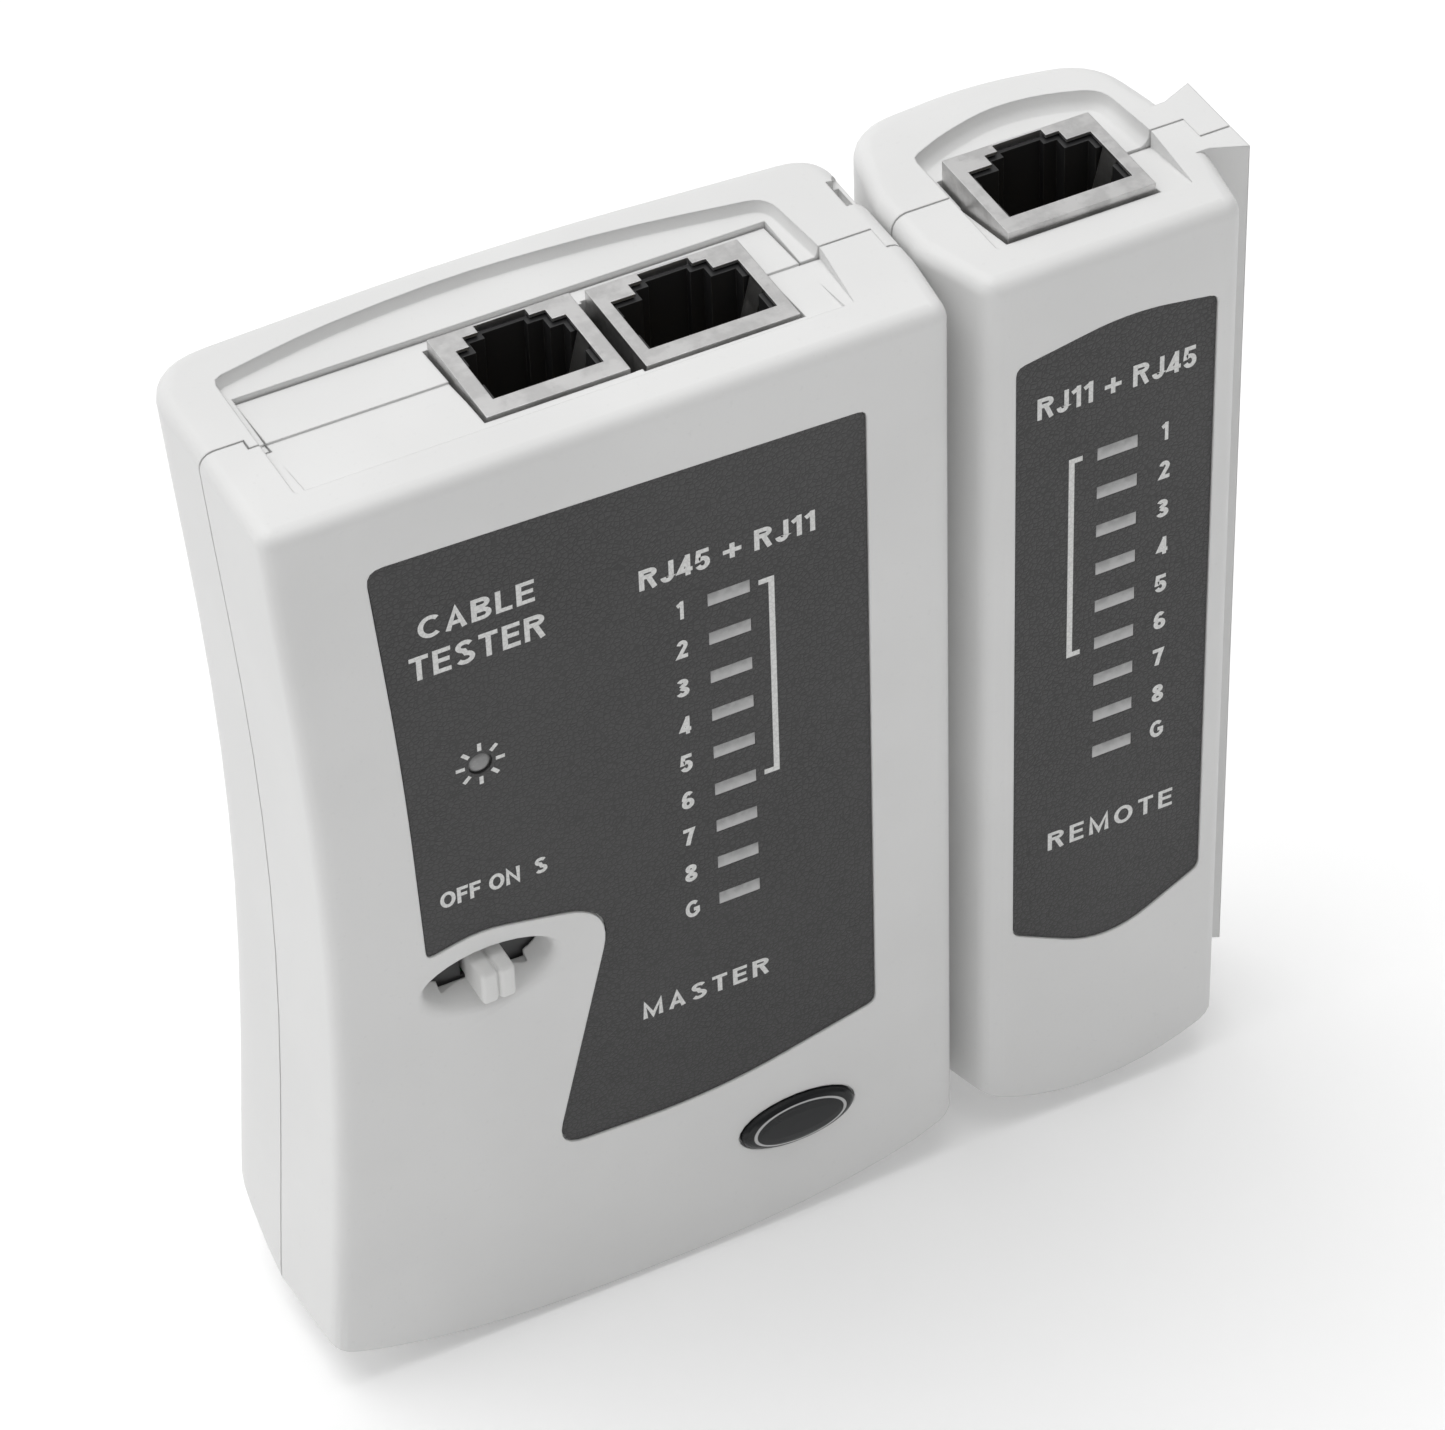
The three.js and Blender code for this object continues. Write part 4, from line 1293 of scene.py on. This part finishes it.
@dataclass
class PowerLamp:
    """The round power lamp: a low domed lens."""

    bench: Bench
    segments: int = 48
    reach: float = 0.12
    tone: Colour = (0.3, 0.3, 0.3)
    dome: float = 0.3
    steps: tuple[Point, ...] = ((0.92, 0.4), (0.86, 0.3), (0.76, 0.2), (0.5, 0.1))

    def build(self) -> None:
        """Make the lens."""
        low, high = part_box("power_led")
        middle = Vector(((low.x + high.x) / 2, high.y, (low.z + high.z) / 2))
        radius = (high.x - low.x) / 2 + self.reach * MM
        shape = Shape()
        face = shape.disc(middle, (radius, radius), self.segments)
        bmesh.ops.duplicate(shape.bm, geom=[face])
        rise = self.dome * radius
        front = shape.push(face, low.y - high.y + rise)
        for share, part in self.steps:
            front = shape.draw_in(front, (share, share), -part * rise)
        bmesh.ops.remove_doubles(shape.bm, verts=shape.bm.verts, dist=1e-7)
        bmesh.ops.recalc_face_normals(shape.bm, faces=shape.bm.faces)
        piece = shape.piece("power_lens", 50.0)
        window = (low.z / MM, high.z / MM)
        finish = LampResin("power_resin", window, 2 * (window[1] - window[0]), self.tone)
        self.bench.hand_over(piece, Body.MASTER, Slot.LENS, finish, ["power_led"])


@dataclass
class Badge:
    """The domed oval badge low on the master's front."""

    bench: Bench
    segments: int = 128
    wall: float = 0.45
    steps: tuple[Point, ...] = (
        (0.985, 0.22),
        (0.97, 0.18),
        (0.95, 0.16),
        (0.9, 0.18),
        (0.82, 0.14),
        (0.66, 0.09),
        (0.3, 0.03),
    )

    def build(self) -> None:
        """Make the badge as an oval pad whose top is drawn in ring by ring to a dome."""
        low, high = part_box("badge")
        middle = Vector(((low.x + high.x) / 2, high.y, (low.z + high.z) / 2))
        half = ((high.x - low.x) / 2, (high.z - low.z) / 2)
        shape = Shape()
        face = shape.disc(middle, half, self.segments)
        bmesh.ops.duplicate(shape.bm, geom=[face])
        wall = self.wall * (high.y - low.y)
        dome = (high.y - low.y) - wall
        front = shape.push(face, -wall)
        for share, part in self.steps:
            flat = (1 + share) / 2
            front = shape.draw_in(front, (flat, share), -part * dome)
        bmesh.ops.poke(shape.bm, faces=[front])
        bmesh.ops.remove_doubles(shape.bm, verts=shape.bm.verts, dist=1e-7)
        bmesh.ops.recalc_face_normals(shape.bm, faces=shape.bm.faces)
        piece = shape.piece("domed_badge", 50.0)
        centre = (middle.x / MM, middle.z / MM)
        finish = BadgeResin(centre, (half[0] / MM, half[1] / MM))
        self.bench.hand_over(piece, Body.MASTER, Slot.BADGE, finish, ["badge"])


@dataclass
class SlideSwitch:
    """The three-place slide switch: a two-lobed knob in the oval well, its slip, and the can behind."""

    bench: Bench
    head: float = 4.1
    groove: float = 0.36
    slit: float = 0.06
    rounding: float = 0.5
    core_half: float = 0.9
    core_inset: float = 0.3
    stem_half: tuple[float, float] = (1.5, 1.8)

    def build(self) -> None:
        """Make the knob and dress what lies behind it."""
        low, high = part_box("switch_knob")
        shape = Shape()
        back = low.y + self.head * MM
        middle = (low.x + high.x) / 2
        rise = (low.z + high.z) / 2
        half = self.slit / 2 * MM
        for left, right in ((low.x, middle - half), (middle + half, high.x)):
            corners = shape.slab(Vector((left, low.y, low.z)), Vector((right, back, high.z)))
            front = {v for v in corners if v.co.y < back - 1e-6}
            shape.bevel({e for v in front for e in v.link_edges}, self.rounding * MM, 5)
        core, inset = self.core_half * MM, self.core_inset * MM
        core_low = Vector((middle - core, low.y + self.groove * MM, low.z + inset))
        shape.slab(core_low, Vector((middle + core, back, high.z - inset)))
        wide, tall = self.stem_half[0] * MM, self.stem_half[1] * MM
        stem_low = Vector((middle - wide, back - inset, rise - tall))
        shape.slab(stem_low, Vector((middle + wide, high.y, rise + tall)))
        piece = shape.piece("two_lobed_knob", 40.0)
        self.bench.hand_over(piece, Body.KNOB, Slot.KNOB, KNOB_PLASTIC, ["switch_knob"])
        self.bench.dress_node("switch_slip", SLIP_PLASTIC)
        self.bench.refit("switch_body", "switch_can_shell", Body.MASTER, Slot.CAN, CAN, 30.0, 0.15)


@dataclass
class ModularSocket:
    """One shielded modular socket: folded tin shield, moulded housing, row of spring wires."""

    bench: Bench
    key: str
    body: Body
    crease: float = 35.0

    def build(self) -> None:
        """Make the three pieces."""
        stem = "socket_" + self.key
        plans = (
            ("shield", Slot.TIN, TIN),
            ("housing", Slot.SOCKET, SOCKET_PLASTIC),
            ("contacts", Slot.GOLD, GOLD),
        )
        for part, slot, finish in plans:
            node = f"{stem}_{part}"
            self.bench.refit(node, node + "_piece", self.body, slot, finish, self.crease)


@dataclass
class Fasteners:
    """The cross-head screws that close both units."""

    bench: Bench
    chamfer: float = 0.12

    def build(self) -> None:
        """Make the six screws."""
        plans = [(f"master_screw_{i}", Body.MASTER) for i in range(1, 5)]
        plans += [(f"remote_screw_{i}", Body.REMOTE) for i in range(1, 3)]
        for node, body in plans:
            self.bench.refit(node, node + "_piece", body, Slot.STEEL, STEEL, 35.0, self.chamfer)


@dataclass
class Power:
    """The battery with its snap and leads."""

    bench: Bench
    terminals: float = 2.4
    band: float = 9.0
    crimp: float = 1.2

    def build(self) -> None:
        """Make the battery and its wiring."""
        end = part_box("battery")[1].x / MM - self.terminals
        finish = CellJacket((end - self.band, end - self.crimp))
        self.bench.refit("battery", "battery_cell", Body.MASTER, Slot.BATTERY, finish, 30.0, 0.3)
        plans = (
            ("battery_snap", Slot.BLACK, BLACK_PLASTIC),
            ("battery_lead_red", Slot.RED, RED_SLEEVE),
            ("battery_lead_black", Slot.BLACK, BLACK_PLASTIC),
        )
        for node, slot, finish_of in plans:
            self.bench.refit(node, node + "_piece", Body.MASTER, slot, finish_of, 55.0)


@dataclass
class Boards:
    """The circuit boards and the counter chip."""

    bench: Bench

    def build(self) -> None:
        """Dress the boards and the chip."""
        self.bench.dress_node("master_board", SolderMask())
        self.bench.dress_node("remote_board", SolderMask())
        self.bench.dress_node("master_chip", BLACK_PLASTIC)


@dataclass
class Studio:
    """Camera, pale floor and soft light."""

    stand: tuple[float, float, float] = (-0.18319, -0.378963, 0.38017)
    azimuth: float = 25.660
    elevation: float = 41.996
    roll: float = -2.191
    lens: float = 147.792
    floor_half: float = 4.0
    key_place: tuple[float, float, float] = (-0.2, 0.2, 1.4)
    key_size: float = 1.6
    key_power: float = 12.6
    fill_place: tuple[float, float, float] = (0.9, -1.1, 0.12)
    fill_size: float = 0.9
    fill_power: float = 0.6
    sky: float = 0.37
    sky_tilt: float = 0.42
    sky_side: tuple[float, float, float] = (-0.35, 0.6, 0.72)

    def camera(self, middle: Vector) -> None:
        """Put the camera up.

        Args:
            middle: Middle of the tester's box.
        """
        turn, tilt, roll = (math.radians(v) for v in (self.azimuth, self.elevation, self.roll))
        look = Vector(
            (math.sin(turn) * math.cos(tilt), math.cos(turn) * math.cos(tilt), -math.sin(tilt))
        )
        level = look.cross(Vector((0, 0, 1))).normalized()
        up = level.cross(look)
        right = level * math.cos(roll) + up * math.sin(roll)
        top = up * math.cos(roll) - level * math.sin(roll)
        data = bpy.data.cameras.new("camera")
        data.lens = self.lens
        data.sensor_width = 36.0
        data.sensor_fit = "HORIZONTAL"
        data.clip_start = 0.01
        data.clip_end = 50.0
        made = bpy.data.objects.new("camera", data)
        place = Matrix((right, top, -look)).transposed().to_4x4()
        place.translation = middle + Vector(self.stand)
        made.matrix_world = place
        bpy.context.scene.collection.objects.link(made)
        bpy.context.scene.camera = made
        log.info("camera is up")

    def floor(self, level: float) -> None:
        """Lay the floor.

        Args:
            level: Height of its face.
        """
        shape = Shape()
        place = Matrix.Translation((0, 0, level - 0.0002))
        bmesh.ops.create_grid(shape.bm, x_segments=4, y_segments=4, size=self.floor_half, matrix=place)
        made = shape.piece("paper_floor")
        made.data.materials.append(StudioPaper().material())
        made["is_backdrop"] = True
        log.info("floor is down")

    def softbox(self, name: str, place: Vector, target: Vector, size: float, power: float) -> None:
        """Hang a round soft light.

        Args:
            name: Its name.
            place: Where it hangs.
            target: What it faces.
            size: Its diameter.
            power: Its power in watts.
        """
        data = bpy.data.lights.new(name, "AREA")
        data.shape = "DISK"
        data.size = size
        data.energy = power
        made = bpy.data.objects.new(name, data)
        made.location = place
        made.rotation_mode = "QUATERNION"
        made.rotation_quaternion = (target - place).to_track_quat("-Z", "Y")
        bpy.context.scene.collection.objects.link(made)

    def lights(self, middle: Vector) -> None:
        """Hang the lights round the tester.

        Args:
            middle: Middle of the tester's box.
        """
        key, fill = Vector(self.key_place), Vector(self.fill_place)
        self.softbox("key", middle + key, middle, self.key_size, self.key_power)
        self.softbox("fill", middle + fill, middle, self.fill_size, self.fill_power)
        world = bpy.data.worlds.new("sky")
        world.use_nodes = True
        tree = world.node_tree
        ground = tree.nodes["Background"]
        ground.inputs["Color"].default_value = (1.0, 1.0, 1.0, 1.0)
        way = tree.nodes.new("ShaderNodeTexCoord")
        towards = tree.nodes.new("ShaderNodeVectorMath")
        towards.operation = "DOT_PRODUCT"
        towards.inputs[1].default_value = self.sky_side
        level = tree.nodes.new("ShaderNodeMath")
        level.operation = "MULTIPLY_ADD"
        level.inputs[1].default_value = self.sky_tilt
        level.inputs[2].default_value = self.sky
        tree.links.new(way.outputs["Generated"], towards.inputs[0])
        tree.links.new(towards.outputs["Value"], level.inputs[0])
        level.use_clamp = True
        tree.links.new(level.outputs[0], ground.inputs["Strength"])
        bpy.context.scene.world = world
        bpy.context.scene.view_settings.view_transform = "Standard"
        log.info("lights are on")


def master_words() -> list[Word]:
    """Words on the master's label, counted from its first lamp."""
    return [
        Word("RJ45 + RJ11", -8.9, 8.9, 3.8, 6.3),
        Word("CABLE", -30.5, -19.1, 7.1, 10.0, 0.14, 0.52),
        Word("TESTER", -31.6, -18.3, 2.6, 5.5, 0.14, 0.52),
        Word("OFF ON  S", -30.5, -19.6, -25.8, -23.4, 0.08, 0.48),
        Word("MASTER", -10.7, 2.8, -49.5, -46.9, 0.24, 0.5),
    ]


def remote_words() -> list[Word]:
    """Words on the remote's label, counted from its first lamp."""
    return [
        Word("RJ11 + RJ45", -8.6, 8.2, 6.5, 9.1),
        Word("REMOTE", -7.0, 7.0, -48.3, -45.6, 0.24, 0.48),
    ]


def main() -> None:
    """Build the tester's looks in order."""
    logging.basicConfig(level=logging.INFO, format="%(name)s: %(message)s")
    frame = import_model()
    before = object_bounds()
    middle = (before[0] + before[1]) / 2
    studio = Studio()
    studio.camera(middle)
    studio.floor(before[0].z)
    studio.lights(middle)
    bench = Bench(frame)
    sub_assemblies = [
        Housing(bench),
        Label(bench, "master", Body.MASTER),
        Label(bench, "remote", Body.REMOTE),
        Lamps(bench, "master", Body.MASTER),
        Lamps(bench, "remote", Body.REMOTE),
        PowerLamp(bench),
        Printing(
            bench,
            "master",
            Body.MASTER,
            master_words(),
            number_x=-5.0,
            bracket_x=4.3,
            tick_x=3.0,
            bracket_top=0.0,
            bracket_low=-23.3,
            rays=(-25.5, -9.6),
        ),
        Printing(
            bench,
            "remote",
            Body.REMOTE,
            remote_words(),
            number_x=5.0,
            bracket_x=-4.9,
            tick_x=-3.75,
            bracket_top=0.3,
            bracket_low=-23.5,
        ),
        Badge(bench),
        SlideSwitch(bench),
        ModularSocket(bench, "a", Body.MASTER),
        ModularSocket(bench, "b", Body.MASTER),
        ModularSocket(bench, "c", Body.REMOTE),
        Fasteners(bench),
        Power(bench),
        Boards(bench),
    ]
    for part in sub_assemblies:
        part.build()
    log.info("%d pieces made", len(bench.made))


if __name__ == "__main__":
    main()
